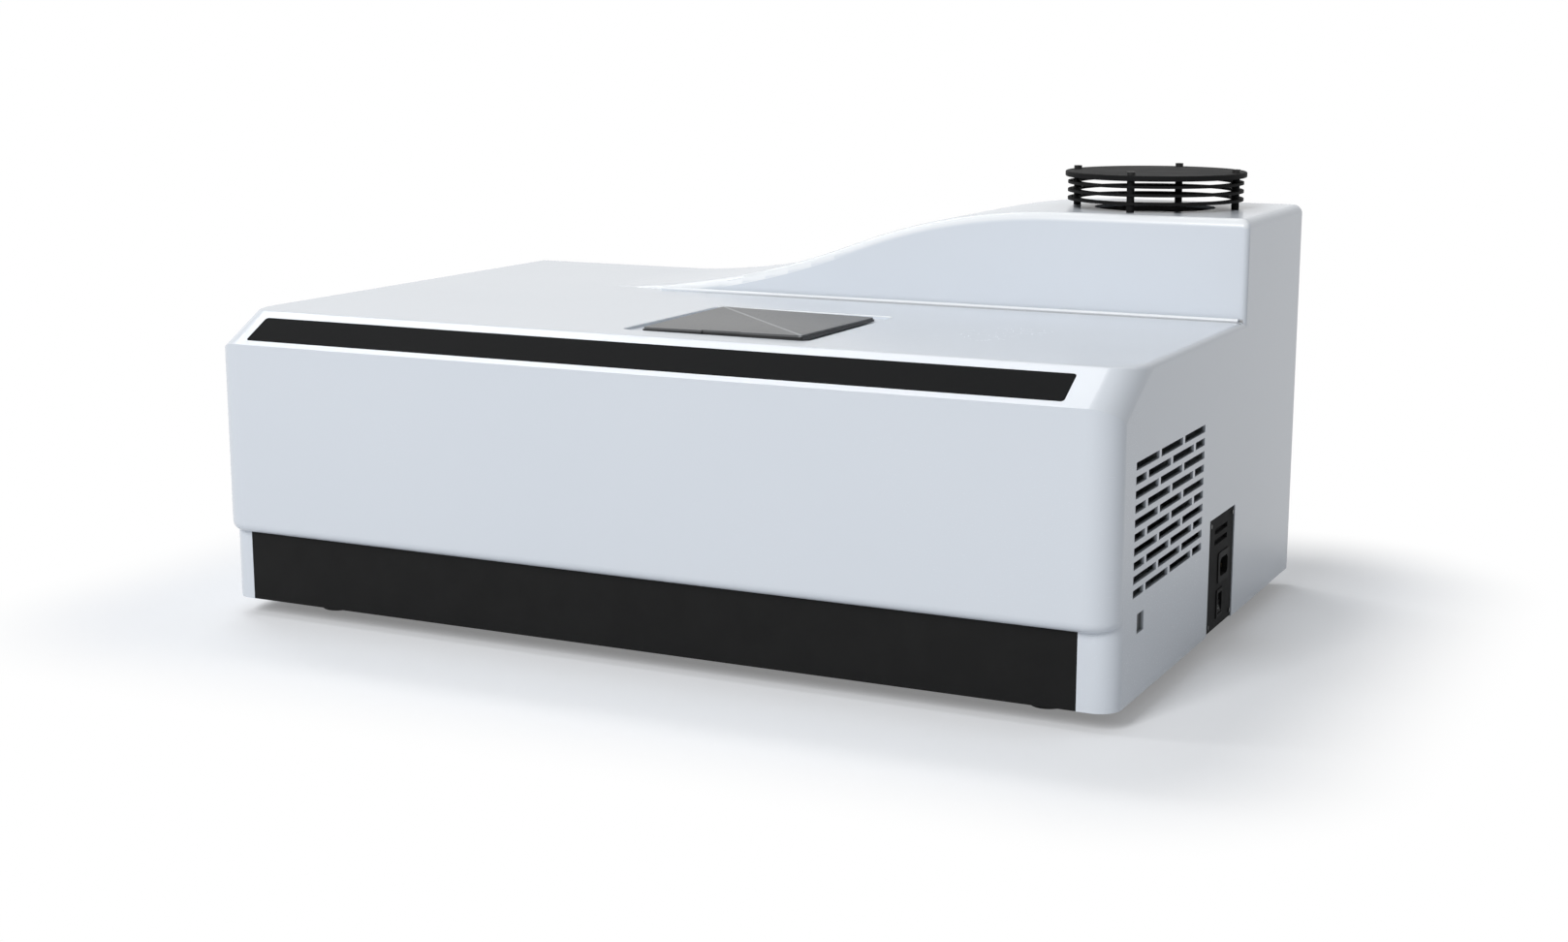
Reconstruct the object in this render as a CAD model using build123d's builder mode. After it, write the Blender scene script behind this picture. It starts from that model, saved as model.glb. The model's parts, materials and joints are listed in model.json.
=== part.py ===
from build123d import *
from math import acos, cos, degrees, radians, sin
import os

# Benchtop fluorometer. Millimetres, +Z up, +X to the operator's right, the operator at -Y.
# The origin is on the table, in the middle of the footprint.

# ---------------------------------------------------------------- driving sizes
# Outer body
overall_width = 802.0
overall_depth = 524.0
body_bottom = 15.5  # underside of the cover above the table
step_height = 76.0  # top of the set-back lower body
step_rounding = 8.0  # of the upper body's lower edge
step_recess = 10.0  # how far the lower front stands back
deck_height = 264.0  # flat working deck
bevel_drop = 24.0  # height of the sloping band between front and deck
bevel_depth = 43.0  # its depth, front to back
tower_height = 349.0  # top of the lamp tower
tower_depth = 187.0  # rear face to the tower's front wall
wave_start_x = -234.0  # where the S-shaped shoulder leaves the deck
wave_end_x = 232.0  # where it reaches the tower's top
wave_joint = 0.6  # where its two arcs meet, as a share of the way
wave_sink = 0.4  # start of the shoulder below the deck, for a clean run-out
tower_root = 60.0  # depth to which the tower reaches into the body
front_radius = 22.0
lower_radius = 18.0
rear_radius = 5.0
edge_radius = 5.0
crown_radius = 8.0
wall = 3.0

# Bead along the foot of the tower wall
bead_start_x = -149.0
bead_gap = 1.8
bead_width = 5.0
bead_height = 3.0
bead_radius = 2.2

# Black trim
trim_thickness = 1.6
trim_clearance = 0.15
strip_side = 36.0  # from each side of the body, before its shift
strip_shift_x = -6.0
strip_height = 33.0
strip_shift = 1.8  # centre of the strip below the middle of the slope
strip_radius = 3.0
kick_side = 26.0  # from each side of the body, before its shift
kick_shift_x = -2.8
kick_below_step = 0.6

# Lid, its pocket in the deck and the sample opening
lid_x = 46.0
lid_from_front = 149.0  # middle of the lid behind the front face
lid_width = 144.0
lid_depth = 142.0
lid_radius = 3.0
lid_ridge = 3.2  # height of the diagonal ridge above the deck
lid_low = 1.6  # height of the two low corners above the deck
lid_skin_thickness = 1.6
lid_border = 0.9
lid_notch_width = 35.0
lid_notch_depth = 2.2
pocket_width = 168.0
pocket_depth = 170.0
pocket_shift_x = -4.0
pocket_shift_y = 8.0
pocket_drop = 2.5
pocket_radius = 8.0
pocket_rim = 1.0
opening_size = 118.0
plug_size = 108.0
plug_depth = 5.5
seal_width = 4.0
seal_height = 0.9
seal_clearance = 0.1

# Lid hinges, hidden in wells behind the lid
hinge_span_width = 90.0
hinge_behind_lid = 8.0
hinge_below_deck = 6.0
knuckle_width = 8.0
knuckle_radius = 4.0
hinge_pin_radius = 2.0
running_clearance = 0.05
side_clearance = 0.4
bracket_drop = 0.7  # bracket below the pocket floor
ear_thickness = 2.5
well_front = 5.2
well_rear = 7.8

# Sample chamber and cuvette holder
chamber_size = 126.0
chamber_floor = 20.0
beam_height = 165.0
port_radius = 12.0
holder_size = 36.0
holder_above_beam = 20.0
cuvette_size = 12.6
cuvette_below_beam = 15.0
window_radius = 5.0
lens_thickness = 3.4
lens_bulge = 1.5

# Chassis
tray_sheet = 2.0
tray_above_cover = 1.0
tray_clearance = 1.5
tray_flange = 14.0
tray_notch_height = 5.0
rear_lip = 15.0
panel_sheet = 2.0
panel_overlap = 5.0
panel_clearance = 0.2
bench_sheet = 10.0
bench_top = 80.0
bench_side_gap = 30.0  # from the left side of the body
bench_lamp_gap = 16.0  # from the lamp housing
bench_front_gap = 27.0  # from the lower front
bench_rear_gap = 37.0
bench_inset = 20.0
standoff_radius = 8.0
standoff_columns = 3

# Feet
foot_radius = 15.0
foot_inset_x = 70.0
foot_inset_y = 67.0
foot_chamfer = 1.5
foot_screw_radius = 2.5
foot_head_radius = 4.5
foot_head_recess = 7.0
foot_head_height = 3.0

# Side vents, laid like bricks
vent_front = 47.0  # from the front face
vent_length = 179.0
vent_top = 195.5
vent_rows = 10
vent_pitch = 10.6
vent_slot = 6.0
vent_web = 5.2
vent_columns = 3

# Connector panel and its fittings
io_front = 251.0  # from the front face
io_width = 76.0
io_top = 112.0
io_recess = 1.0
io_clearance = 0.5
inlet_behind = 47.0  # behind the front edge of the cut-out
inlet_z = 66.0
inlet_width = 27.0
inlet_height = 20.0
inlet_flange = 3.0
inlet_depth = 24.0
socket_width = 23.0
socket_height = 15.6
socket_depth = 17.0
socket_corner = 3.0
pin_width = 2.0
pin_height = 4.0
pin_length = 13.0
pin_spread = 7.0
pin_offset = 2.0
switch_behind = 38.0
switch_z = 36.0
switch_width = 15.0
switch_height = 21.0
switch_rim = 1.5
switch_depth = 18.0
rocker_angle = 8.0
rocker_half = 8.2
rocker_front = 1.5
rocker_dip = 1.3
rocker_back = 5.0
rocker_pin_radius = 1.2
rocker_gap = 0.5
switch_cavity = 11.0
port_width = 38.0
port_height = 4.5
port_spacing = 9.0
port_below_top = 13.0
port_rim = 1.2
port_depth = 14.0
io_screw_radius = 1.9
io_screw_inset = 5.0

# Small recessed socket near the front corner
side_port_front = 59.0
side_port_width = 16.5
side_port_bottom = 65.0
side_port_height = 15.0
side_port_margin = 4.0
side_port_plate = 2.0

# Exhaust stack over the fan
exhaust_from_right = 109.0
exhaust_from_rear = 93.0
exhaust_bore = 52.5
post_circle_radius = 71.5
post_radius = 3.3
post_count = 4
stud_radius = 2.0
stud_length = 6.0
stud_clearance = 0.1
ring_outer = 76.2
ring_inner = 67.0
ring_thickness = 2.2
ring_first_gap = 6.6
ring_pitch = 7.1
ring_count = 3
cap_radius = 78.6
cap_thickness = 4.7
cap_edge = 1.2
cap_gap_height = 26.9
cap_screw_radius = 3.5
cap_screw_height = 3.0
cap_screw_socket = 1.7

# Fan
fan_size = 120.0
fan_height = 25.0
fan_corner = 6.0
fan_bore = 57.5
fan_tip_gap = 2.0
fan_hub_radius = 21.0
fan_strut = 5.0
fan_strut_height = 3.0
fan_motor_height = 5.0
fan_blades = 7
fan_blade_thickness = 1.8
fan_blade_angle = 38.0
fan_shaft_radius = 2.5
fan_rotor_gap = 1.0

# Lamp
lamp_house_size = 144.0
lamp_wall = 3.0
lamp_flue = 50.0
lamp_below_fan = 6.0
bulb_radius = 11.0
bulb_length = 56.0
bulb_stem_radius = 5.0
bulb_stem_length = 26.0
socket_radius = 14.0
reflector_radius = 44.0
reflector_rim = 34.0
reflector_sheet = 2.5
reflector_boss = 9.0

# Monochromators
mono_wall = 4.0
mono_height = 170.0
lamp_tube_length = 31.0
chamber_tube_length = 53.0
excitation_width = 235.0
excitation_rear_gap = 10.0  # inside the rear edge of the bench
emission_side_gap = 30.0  # inside the left edge of the bench
emission_front_gap = 25.0
emission_depth = 260.0
excitation_table_from_right = 100.0
excitation_table_from_rear = 105.0
emission_table_from_left = 170.0
emission_table_from_front = 170.0
grating_turn = 35.0
table_radius = 26.0
table_thickness = 6.0
table_gap = 1.0
grating_width = 50.0
grating_thickness = 9.0
grating_height = 50.0
mirror_width = 54.0
mirror_thickness = 8.0
mirror_foot = 16.0
motor_size = 42.0
motor_height = 40.0
motor_corner = 4.0
shaft_radius = 2.5
shaft_hole = 4.0
slit_plate_size = 36.0
slit_plate_thickness = 2.0
slit_width = 2.0
slit_length = 16.0
tube_radius = 16.0
tube_bore = 13.0

# Filter wheel
wheel_radius = 40.0
wheel_thickness = 6.0
wheel_from_chamber = 8.0
filter_circle_radius = 26.0
filter_radius = 9.0
filter_count = 6
filter_thickness = 4.0
wheel_shaft_radius = 3.0
wheel_motor_radius = 14.0
wheel_motor_gap = 3.0
wheel_motor_length = 15.0
wheel_shaft_length = 13.5

# Detector
pmt_from_left = 90.0  # from the emission housing's left wall
pmt_house_width = 90.0
pmt_house_depth = 100.0
pmt_house_height = 140.0
pmt_tube_radius = 14.0
pmt_tube_length = 85.0
pmt_base_radius = 17.0
pmt_base_height = 26.0

# Electronics
supply_right_gap = 14.0
supply_width = 140.0
supply_length = 150.0
supply_height = 62.0
supply_front = 50.0
supply_corner = 2.0
board_width = 200.0
board_length = 140.0
board_thickness = 1.6
board_from_left = 160.0  # its middle, from the bench's left edge
board_from_front = 100.0
board_height = 12.0
board_standoff_radius = 3.0
chip_size = 28.0
chip_height = 3.0

# Panel screws
panel_screw_radius = 3.6
panel_screw_height = 2.2
panel_screw_inset = 14.0

# ---------------------------------------------------------------- derived places
front_face = -overall_depth / 2
rear_face = overall_depth / 2
right_face = overall_width / 2
inner_right = right_face - wall
tower_front = rear_face - tower_depth
lower_front = front_face + step_recess
tray_bottom = body_bottom + tray_above_cover
tray_top = tray_bottom + tray_sheet
kick_width = overall_width - 2 * kick_side
kick_bottom = body_bottom
kick_top = step_height - kick_below_step
strip_width = overall_width - 2 * strip_side
pocket_floor = deck_height - pocket_drop
pocket_under = pocket_floor - wall
lid_bottom = pocket_floor + seal_height + seal_clearance
lid_y = front_face + lid_from_front
lid_left = lid_x - lid_width / 2
lid_right = lid_x + lid_width / 2
lid_front = lid_y - lid_depth / 2
lid_rear = lid_y + lid_depth / 2
hinge_y = lid_rear + hinge_behind_lid
hinge_z = deck_height - hinge_below_deck
bench_bottom = bench_top - bench_sheet
tray_inset = wall + tray_clearance
notch_z = tray_bottom + tray_notch_height
foot_x = right_face - foot_inset_x
foot_y = rear_face - foot_inset_y
rocker_reach = rocker_front * cos(radians(rocker_angle)) + rocker_half * sin(radians(rocker_angle))
rocker_x = right_face - rocker_reach - trim_clearance
panel_rear = rear_face - wall - panel_clearance
panel_front = panel_rear - panel_sheet
tower_inside = tower_height - wall
fan_bottom = tower_inside - fan_height
io_face = right_face - io_recess
io_back = right_face - wall - tray_clearance
io_left = front_face + io_front
io_right = io_left + io_width
inlet_y = io_left + inlet_behind
switch_y = io_left + switch_behind
chamber_half = chamber_size / 2
mono_top = bench_top + mono_height
wheel_front = lid_y + chamber_size / 2 + wheel_from_chamber
wheel_rear = wheel_front + wheel_thickness
wheel_z = beam_height - filter_circle_radius
lamp_top = fan_bottom - lamp_below_fan
lamp_half = lamp_house_size / 2
chamber_bottom = bench_top + chamber_floor
exhaust_x = right_face - exhaust_from_right
exhaust_y = rear_face - exhaust_from_rear
lamp_left = exhaust_x - lamp_half
bench_left = bench_side_gap - right_face
bench_right = lamp_left - bench_lamp_gap
bench_front = lower_front + bench_front_gap
bench_rear = rear_face - bench_rear_gap
excitation_right = lamp_left - lamp_tube_length
excitation_left = excitation_right - excitation_width
excitation_front = wheel_rear + wheel_motor_gap + wheel_motor_length
excitation_rear = bench_rear - excitation_rear_gap
emission_left = bench_left + emission_side_gap
emission_right = lid_x - chamber_half - chamber_tube_length
emission_front = bench_front + emission_front_gap
emission_rear = emission_front + emission_depth
excitation_table = (
    excitation_right - excitation_table_from_right, excitation_rear - excitation_table_from_rear
)
emission_table = (
    emission_left + emission_table_from_left, emission_front + emission_table_from_front
)
pmt_x = emission_left + pmt_from_left
board_x = bench_left + board_from_left
board_y = bench_front + board_from_front

# across the sloping band, at its lower edge, looking up the slope
slope_plane = Plane(
    origin=(0, front_face, deck_height - bevel_drop),
    x_dir=(1, 0, 0),
    z_dir=(0, bevel_depth, bevel_drop),
)
# on the sloping band, at its middle
bevel_plane = Plane(
    origin=(0, front_face + bevel_depth / 2, deck_height - bevel_drop / 2),
    x_dir=(1, 0, 0),
    z_dir=(0, -bevel_drop, bevel_depth),
)

os.makedirs("parts", exist_ok=True)


def save(part, name):
    """Label a finished piece and write it to its own file."""
    part.label = name
    export_step(part, f"parts/{name}.step")


def block(x_range, y_range, z_range, mode=Mode.ADD):
    """Rectangular block between two limits on each axis."""
    spans = [high - low for low, high in (x_range, y_range, z_range)]
    centre = [(low + high) / 2 for low, high in (x_range, y_range, z_range)]
    with Locations(tuple(centre)):
        Box(*spans, mode=mode)


def rod(centre, radius, length, axis="Z", mode=Mode.ADD):
    """Cylinder along one axis, starting at the given end point."""
    turns = {"X": (0, 90, 0), "Y": (-90, 0, 0), "Z": (0, 0, 0)}
    with Locations(Location(centre, turns[axis])):
        base = (Align.CENTER, Align.CENTER, Align.MIN)
        Cylinder(radius, length, align=base, mode=mode)


# ---------------------------------------------------------------- envelope of the body
def body_block(bottom, top, front, inset, radius, rounding=0):
    """Upright slab of the body with rounded corners, moved inward by inset.

    A rounding is taken off its lower edge, at the front and along the sides."""
    rear = rear_face - inset
    with BuildPart() as slab:
        block((inset - right_face, right_face - inset), (front + inset, rear), (bottom, top))
        corners = slab.edges().filter_by(Axis.Z).group_by(Axis.Y)
        fillet(corners[0], radius - inset)
        if rounding:
            foot = slab.edges().group_by(Axis.Z)[0].sort_by(Axis.Y)
            fillet(foot[:-1], rounding - inset)
        corners = slab.edges().filter_by(Axis.Z).group_by(Axis.Y)
        fillet(corners[-1], rear_radius - inset)
    return slab.part


def deck_block(inset):
    """Upper body up to the deck, with the sloping band along its front."""
    with BuildPart() as upper:
        levels = (step_height + inset, deck_height - inset)
        add(body_block(*levels, front_face, inset, front_radius, step_rounding))
        # the band turns into the sides with the radius of the body's corners
        with BuildSketch(slope_plane):
            with Locations((0, inset)):
                band = (overall_width - 2 * inset, 2 * overall_depth)
                RectangleRounded(*band, front_radius - inset, align=(Align.CENTER, Align.MIN))
        extrude(amount=overall_depth, both=True, mode=Mode.INTERSECT)
        if inset == 0:
            fillet(upper.edges().group_by(Axis.Z)[-1], edge_radius)
    return upper.part


def wave(inset):
    """S-shaped shoulder from the deck to the tower top, as two tangent arcs."""
    start = Vector(wave_start_x, deck_height - wave_sink - inset)
    end = Vector(wave_end_x, tower_height - inset)
    middle = start + (end - start) * wave_joint
    foot = TangentArc(start, middle, tangent=(1, 0))
    TangentArc(middle, end, tangent=foot % 1)
    return start, end


def tower_block(inset):
    """Lamp tower: the shoulder's outline, carried from its front wall to the rear."""
    side = right_face - inset
    root = deck_height - tower_root
    front = tower_front + inset
    with BuildPart() as tower:
        with BuildSketch(Plane.XZ.offset(-front)):
            with BuildLine():
                start, end = wave(inset)
                Polyline(end, (side, end.Y), (side, root), (start.X, root), start)
            make_face()
        extrude(amount=front - rear_face + inset)
        corners = tower.edges().filter_by(Axis.Z).group_by(Axis.X)[-1].sort_by(Axis.Y)
        fillet(corners[-1], rear_radius - inset)
        if inset == 0:
            corners = tower.edges().filter_by(Axis.Z).group_by(Axis.X)[-1].sort_by(Axis.Y)
            fillet(corners[0], edge_radius)
            front_edges = tower.faces().sort_by(Axis.Y)[0].edges()
            crown = front_edges.filter_by(lambda edge: edge.center().Z > deck_height)
            fillet(crown.filter_by(lambda edge: abs(edge.tangent_at(0.5).Z) < 0.9), crown_radius)
    return tower.part


def envelope(inset):
    """Whole body, moved inward by inset; the inner one runs out below."""
    bottom = body_bottom if inset == 0 else body_bottom - wall
    with BuildPart() as body:
        add(deck_block(inset))
        add(tower_block(inset))
        add(body_block(bottom, step_height + step_rounding, lower_front, inset, lower_radius))
    return body.part


def rear_outline(inset, bottom):
    """Lines of the body's outline from behind, moved inward by inset."""
    side = right_face - inset
    start, end = wave(inset)
    Polyline(end, (side, end.Y), (side, bottom), (-side, bottom), (-side, start.Y), start)


# ---------------------------------------------------------------- main cover
def vent_slots():
    """Slots of the side vent: full rows alternate with rows that end in half slots."""
    full = (vent_length - (vent_columns - 1) * vent_web) / vent_columns
    half = (full - vent_web) / 2
    for row in range(vent_rows):
        if row % 2 == 0:
            lengths = [full] * vent_columns
        else:
            lengths = [half] + [full] * (vent_columns - 1) + [half]
        height = vent_top - vent_slot / 2 - row * vent_pitch
        edge = front_face + vent_front
        for length in lengths:
            with Locations((edge + length / 2, height)):
                Rectangle(length, vent_slot)
            edge += length + vent_web


with BuildPart() as main_cover:
    add(envelope(0))
    add(envelope(wall), mode=Mode.SUBTRACT)
    with BuildSketch(Plane.XZ.offset(-rear_face)):
        with BuildLine():
            rear_outline(rear_lip, body_bottom - wall)
        make_face()
    extrude(amount=2 * wall, mode=Mode.SUBTRACT)
    # bead along the foot of the tower wall
    with BuildSketch(Plane.YZ.offset(bead_start_x)):
        with Locations((tower_front - bead_gap - bead_width / 2, deck_height)):
            RectangleRounded(bead_width, 2 * bead_height, bead_radius)
    extrude(amount=right_face - edge_radius - bead_start_x)
    # strip face and kick panel are let into the wall
    with BuildSketch(bevel_plane.offset(0)):
        with Locations((strip_shift_x, -strip_shift)):
            RectangleRounded(strip_width, strip_height, strip_radius)
    extrude(amount=-trim_thickness, mode=Mode.SUBTRACT)
    with BuildSketch(Plane.XZ.offset(-lower_front)):
        with Locations((kick_shift_x, (kick_bottom + kick_top) / 2)):
            Rectangle(kick_width, kick_top - kick_bottom)
    extrude(amount=-trim_thickness, mode=Mode.SUBTRACT)
    # lid pocket with the sample opening and the two hinge wells
    pocket_centre = (lid_x + pocket_shift_x, lid_y + pocket_shift_y)
    with BuildSketch(Plane.XY.offset(pocket_under)):
        with Locations(pocket_centre):
            RectangleRounded(pocket_width + 2 * wall, pocket_depth + 2 * wall, pocket_radius)
    extrude(amount=deck_height - wall - pocket_under)
    with BuildSketch(Plane.XY.offset(pocket_floor)):
        with Locations(pocket_centre):
            RectangleRounded(pocket_width, pocket_depth, pocket_radius)
    extrude(amount=pocket_drop, mode=Mode.SUBTRACT)
    fillet(main_cover.edges(Select.LAST).group_by(Axis.Z)[-1], pocket_rim)
    with BuildSketch(Plane.XY.offset(pocket_floor)):
        with Locations((lid_x, lid_y)):
            Rectangle(opening_size, opening_size)
        with Locations((lid_x, hinge_y + (well_rear - well_front) / 2)):
            with GridLocations(hinge_span_width, 0, 2, 1):
                well_width = knuckle_width + 2 * (side_clearance * 2 + ear_thickness)
                Rectangle(well_width, well_front + well_rear)
    extrude(amount=-2 * wall, mode=Mode.SUBTRACT)
    # right side: vents, connector cut-out and the small socket
    with BuildSketch(Plane.YZ.offset(right_face)):
        vent_slots()
        with Locations((front_face + side_port_front, side_port_bottom)):
            corner = (Align.MIN, Align.MIN)
            Rectangle(side_port_width, side_port_height, align=corner)
        with Locations((io_left, body_bottom - wall)):
            Rectangle(io_width, io_top - body_bottom + wall, align=corner)
    extrude(amount=-2 * wall, mode=Mode.SUBTRACT)
    # exhaust opening and stud holes
    with BuildSketch(Plane.XY.offset(tower_height)):
        with Locations((exhaust_x, exhaust_y)):
            Circle(exhaust_bore)
            with PolarLocations(post_circle_radius, post_count):
                Circle(stud_radius + stud_clearance)
    extrude(amount=-2 * wall, mode=Mode.SUBTRACT)
save(main_cover.part, "main_cover")

# ---------------------------------------------------------------- trim on the cover
with BuildPart() as front_strip:
    with BuildSketch(bevel_plane.offset(-trim_thickness)):
        with Locations((strip_shift_x, -strip_shift)):
            RectangleRounded(
                strip_width - 2 * trim_clearance, strip_height - 2 * trim_clearance, strip_radius
            )
    extrude(amount=trim_thickness)
save(front_strip.part, "front_strip")

with BuildPart() as kick_panel:
    block(
        (
            kick_shift_x - kick_width / 2 + trim_clearance,
            kick_shift_x + kick_width / 2 - trim_clearance,
        ),
        (lower_front, lower_front + trim_thickness),
        (kick_bottom + trim_clearance, kick_top - trim_clearance),
    )
save(kick_panel.part, "kick_panel")

# ---------------------------------------------------------------- chassis
with BuildPart() as base_tray:
    with BuildSketch(Plane.XY.offset(tray_bottom)):
        with Locations((0, (lower_front + tray_inset + panel_front) / 2)):
            Rectangle(overall_width - 2 * tray_inset, panel_front - lower_front - tray_inset)
    extrude(amount=tray_flange)
    corners = base_tray.edges().filter_by(Axis.Z).group_by(Axis.Y)
    fillet(corners[0], lower_radius - tray_inset)
    corners = base_tray.edges().filter_by(Axis.Z).group_by(Axis.Y)
    fillet(corners[-1], rear_radius - tray_inset)
    offset(amount=-tray_sheet, openings=base_tray.faces().sort_by(Axis.Z)[-1])
    # the flange dips behind the connector panel
    block(
        (right_face - 3 * tray_inset, right_face),
        (io_left, io_right),
        (notch_z, tray_bottom + tray_flange),
        mode=Mode.SUBTRACT,
    )
    with Locations(Plane.XY.offset(tray_top)):
        with GridLocations(2 * foot_x, 2 * foot_y, 2, 2):
            Hole(foot_screw_radius)
save(base_tray.part, "base_tray")

with BuildPart() as rear_panel:
    with BuildSketch(Plane.XZ.offset(-panel_front)):
        with BuildLine():
            rear_outline(rear_lip - panel_overlap, tray_bottom)
        make_face()
    extrude(amount=-panel_sheet)
save(rear_panel.part, "rear_panel")

with BuildPart() as panel_screws:
    screw_x = right_face - rear_lip - panel_screw_inset
    low_z = tray_bottom + tray_flange / 2
    high_z = deck_height - rear_lip - panel_screw_inset
    spots = [(-screw_x, low_z), (0, low_z), (screw_x, low_z)]
    spots += [(-screw_x, high_z), (wave_start_x, high_z), (screw_x, high_z)]
    spots += [(wave_end_x, tower_height - rear_lip - panel_screw_inset)]
    spots += [(screw_x, tower_height - rear_lip - panel_screw_inset)]
    with BuildSketch(Plane.XZ.offset(-panel_rear)):
        with Locations(spots):
            Circle(panel_screw_radius)
    extrude(amount=-panel_screw_height)
    heads = panel_screws.faces().group_by(Axis.Y)[-1].edges()
    fillet(heads, panel_screw_height / 2)
save(panel_screws.part, "panel_screws")

with BuildPart() as feet:
    with BuildSketch(Plane.XY):
        with GridLocations(2 * foot_x, 2 * foot_y, 2, 2):
            Circle(foot_radius)
    extrude(amount=tray_bottom)
    chamfer(feet.faces().group_by(Axis.Z)[0].edges(), foot_chamfer)
    with Locations(Plane.XY.offset(tray_bottom)):
        with GridLocations(2 * foot_x, 2 * foot_y, 2, 2):
            Hole(foot_screw_radius)
    with BuildSketch(Plane.XY):
        with GridLocations(2 * foot_x, 2 * foot_y, 2, 2):
            Circle(foot_head_radius)
    extrude(amount=foot_head_recess, mode=Mode.SUBTRACT)
save(feet.part, "feet")

with BuildPart() as foot_screws:
    with BuildSketch(Plane.XY.offset(foot_head_recess)):
        with GridLocations(2 * foot_x, 2 * foot_y, 2, 2):
            Circle(foot_head_radius - trim_clearance)
    extrude(amount=-foot_head_height)
    with BuildSketch(Plane.XY.offset(foot_head_recess)):
        with GridLocations(2 * foot_x, 2 * foot_y, 2, 2):
            Circle(foot_screw_radius - stud_clearance)
    extrude(amount=tray_top - foot_head_recess)
save(foot_screws.part, "foot_screws")

with BuildPart() as optical_bench:
    block((bench_left, bench_right), (bench_front, bench_rear), (bench_bottom, bench_top))
    with Locations(Plane.XY.offset(bench_top)):
        with Locations(excitation_table, emission_table):
            Hole(shaft_hole)
save(optical_bench.part, "optical_bench")

with BuildPart() as bench_standoffs:
    with BuildSketch(Plane.XY.offset(tray_top)):
        with Locations(((bench_left + bench_right) / 2, (bench_front + bench_rear) / 2)):
            column_pitch = (bench_right - bench_left - 2 * bench_inset) / (standoff_columns - 1)
            row_pitch = bench_rear - bench_front - 2 * bench_inset
            with GridLocations(column_pitch, row_pitch, standoff_columns, 2):
                Circle(standoff_radius)
    extrude(amount=bench_bottom - tray_top)
save(bench_standoffs.part, "bench_standoffs")

# ---------------------------------------------------------------- connector panel
with BuildPart() as io_panel:
    block(
        (io_back, io_face),
        (io_left + io_clearance, io_right - io_clearance),
        (tray_bottom, io_top - io_clearance),
    )
    port_y = (io_left + io_right) / 2
    port_z = io_top - port_below_top
    with BuildSketch(Plane.YZ.offset(io_face)):
        with Locations((inlet_y, inlet_z)):
            Rectangle(inlet_width + 2 * trim_clearance, inlet_height + 2 * trim_clearance)
        with Locations((switch_y, switch_z)):
            Rectangle(switch_width + 2 * trim_clearance, switch_height + 2 * trim_clearance)
        with Locations((port_y, port_z - port_spacing / 2)):
            with GridLocations(port_width, port_spacing, 1, 2):
                Rectangle(port_width, port_height)
    extrude(amount=io_back - io_face, mode=Mode.SUBTRACT)
save(io_panel.part, "io_panel")

with BuildPart() as io_screws:
    with BuildSketch(Plane.YZ.offset(io_face)):
        with Locations((port_y, (tray_bottom + io_top) / 2)):
            across = io_width - 2 * (io_clearance + io_screw_inset)
            upward = io_top - tray_bottom - 2 * (io_clearance + io_screw_inset)
            with GridLocations(across, upward, 2, 2):
                Circle(io_screw_radius)
    extrude(amount=io_recess)
save(io_screws.part, "io_screws")

with BuildPart() as data_ports:
    with BuildSketch(Plane.YZ.offset(io_back)):
        with Locations((port_y, port_z - port_spacing / 2)):
            with GridLocations(port_width, port_spacing, 1, 2):
                Rectangle(port_width + 2 * port_rim, port_height + 2 * port_rim)
    extrude(amount=-port_depth)
    with BuildSketch(Plane.YZ.offset(io_back)):
        with Locations((port_y, port_z - port_spacing / 2)):
            with GridLocations(port_width, port_spacing, 1, 2):
                Rectangle(port_width - 2 * port_rim, port_height - 2 * port_rim)
    extrude(amount=2 * port_rim - port_depth, mode=Mode.SUBTRACT)
save(data_ports.part, "data_ports")

with BuildPart() as power_inlet:
    block(
        (right_face - inlet_depth, io_face),
        (inlet_y - inlet_width / 2, inlet_y + inlet_width / 2),
        (inlet_z - inlet_height / 2, inlet_z + inlet_height / 2),
    )
    with BuildSketch(Plane.YZ.offset(io_face)):
        with Locations((inlet_y, inlet_z)):
            RectangleRounded(
                inlet_width + 2 * inlet_flange, inlet_height + 2 * inlet_flange, socket_corner
            )
    extrude(amount=io_recess)
    with BuildSketch(Plane.YZ.offset(right_face)) as mouth:
        with Locations((inlet_y, inlet_z)):
            Rectangle(socket_width, socket_height)
        chamfer(mouth.vertices().group_by(Axis.Z)[-1], socket_corner)
    extrude(amount=-socket_depth, mode=Mode.SUBTRACT)
save(power_inlet.part, "power_inlet")

with BuildPart() as inlet_pins:
    with BuildSketch(Plane.YZ.offset(right_face - socket_depth)):
        with Locations(
            (inlet_y - pin_spread, inlet_z - pin_offset),
            (inlet_y, inlet_z + pin_offset),
            (inlet_y + pin_spread, inlet_z - pin_offset),
        ):
            Rectangle(pin_width, pin_height)
    extrude(amount=pin_length)
save(inlet_pins.part, "inlet_pins")

with BuildPart() as switch_body:
    with BuildSketch(Plane.YZ.offset(io_face)):
        with Locations((switch_y, switch_z)):
            Rectangle(switch_width, switch_height)
    extrude(amount=-switch_depth)
    with BuildSketch(Plane.YZ.offset(io_face)):
        with Locations((switch_y, switch_z)):
            Rectangle(switch_width + 2 * switch_rim, switch_height + 2 * switch_rim)
    extrude(amount=io_recess)
    with BuildSketch(Plane.YZ.offset(right_face)):
        with Locations((switch_y, switch_z)):
            Rectangle(switch_width - 2 * switch_rim, switch_height - 2 * switch_rim)
    extrude(amount=-switch_cavity, mode=Mode.SUBTRACT)
    rod(
        (rocker_x, switch_y - switch_width / 2, switch_z),
        rocker_pin_radius + running_clearance,
        switch_width,
        axis="Y",
        mode=Mode.SUBTRACT,
    )
save(switch_body.part, "switch_body")

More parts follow.
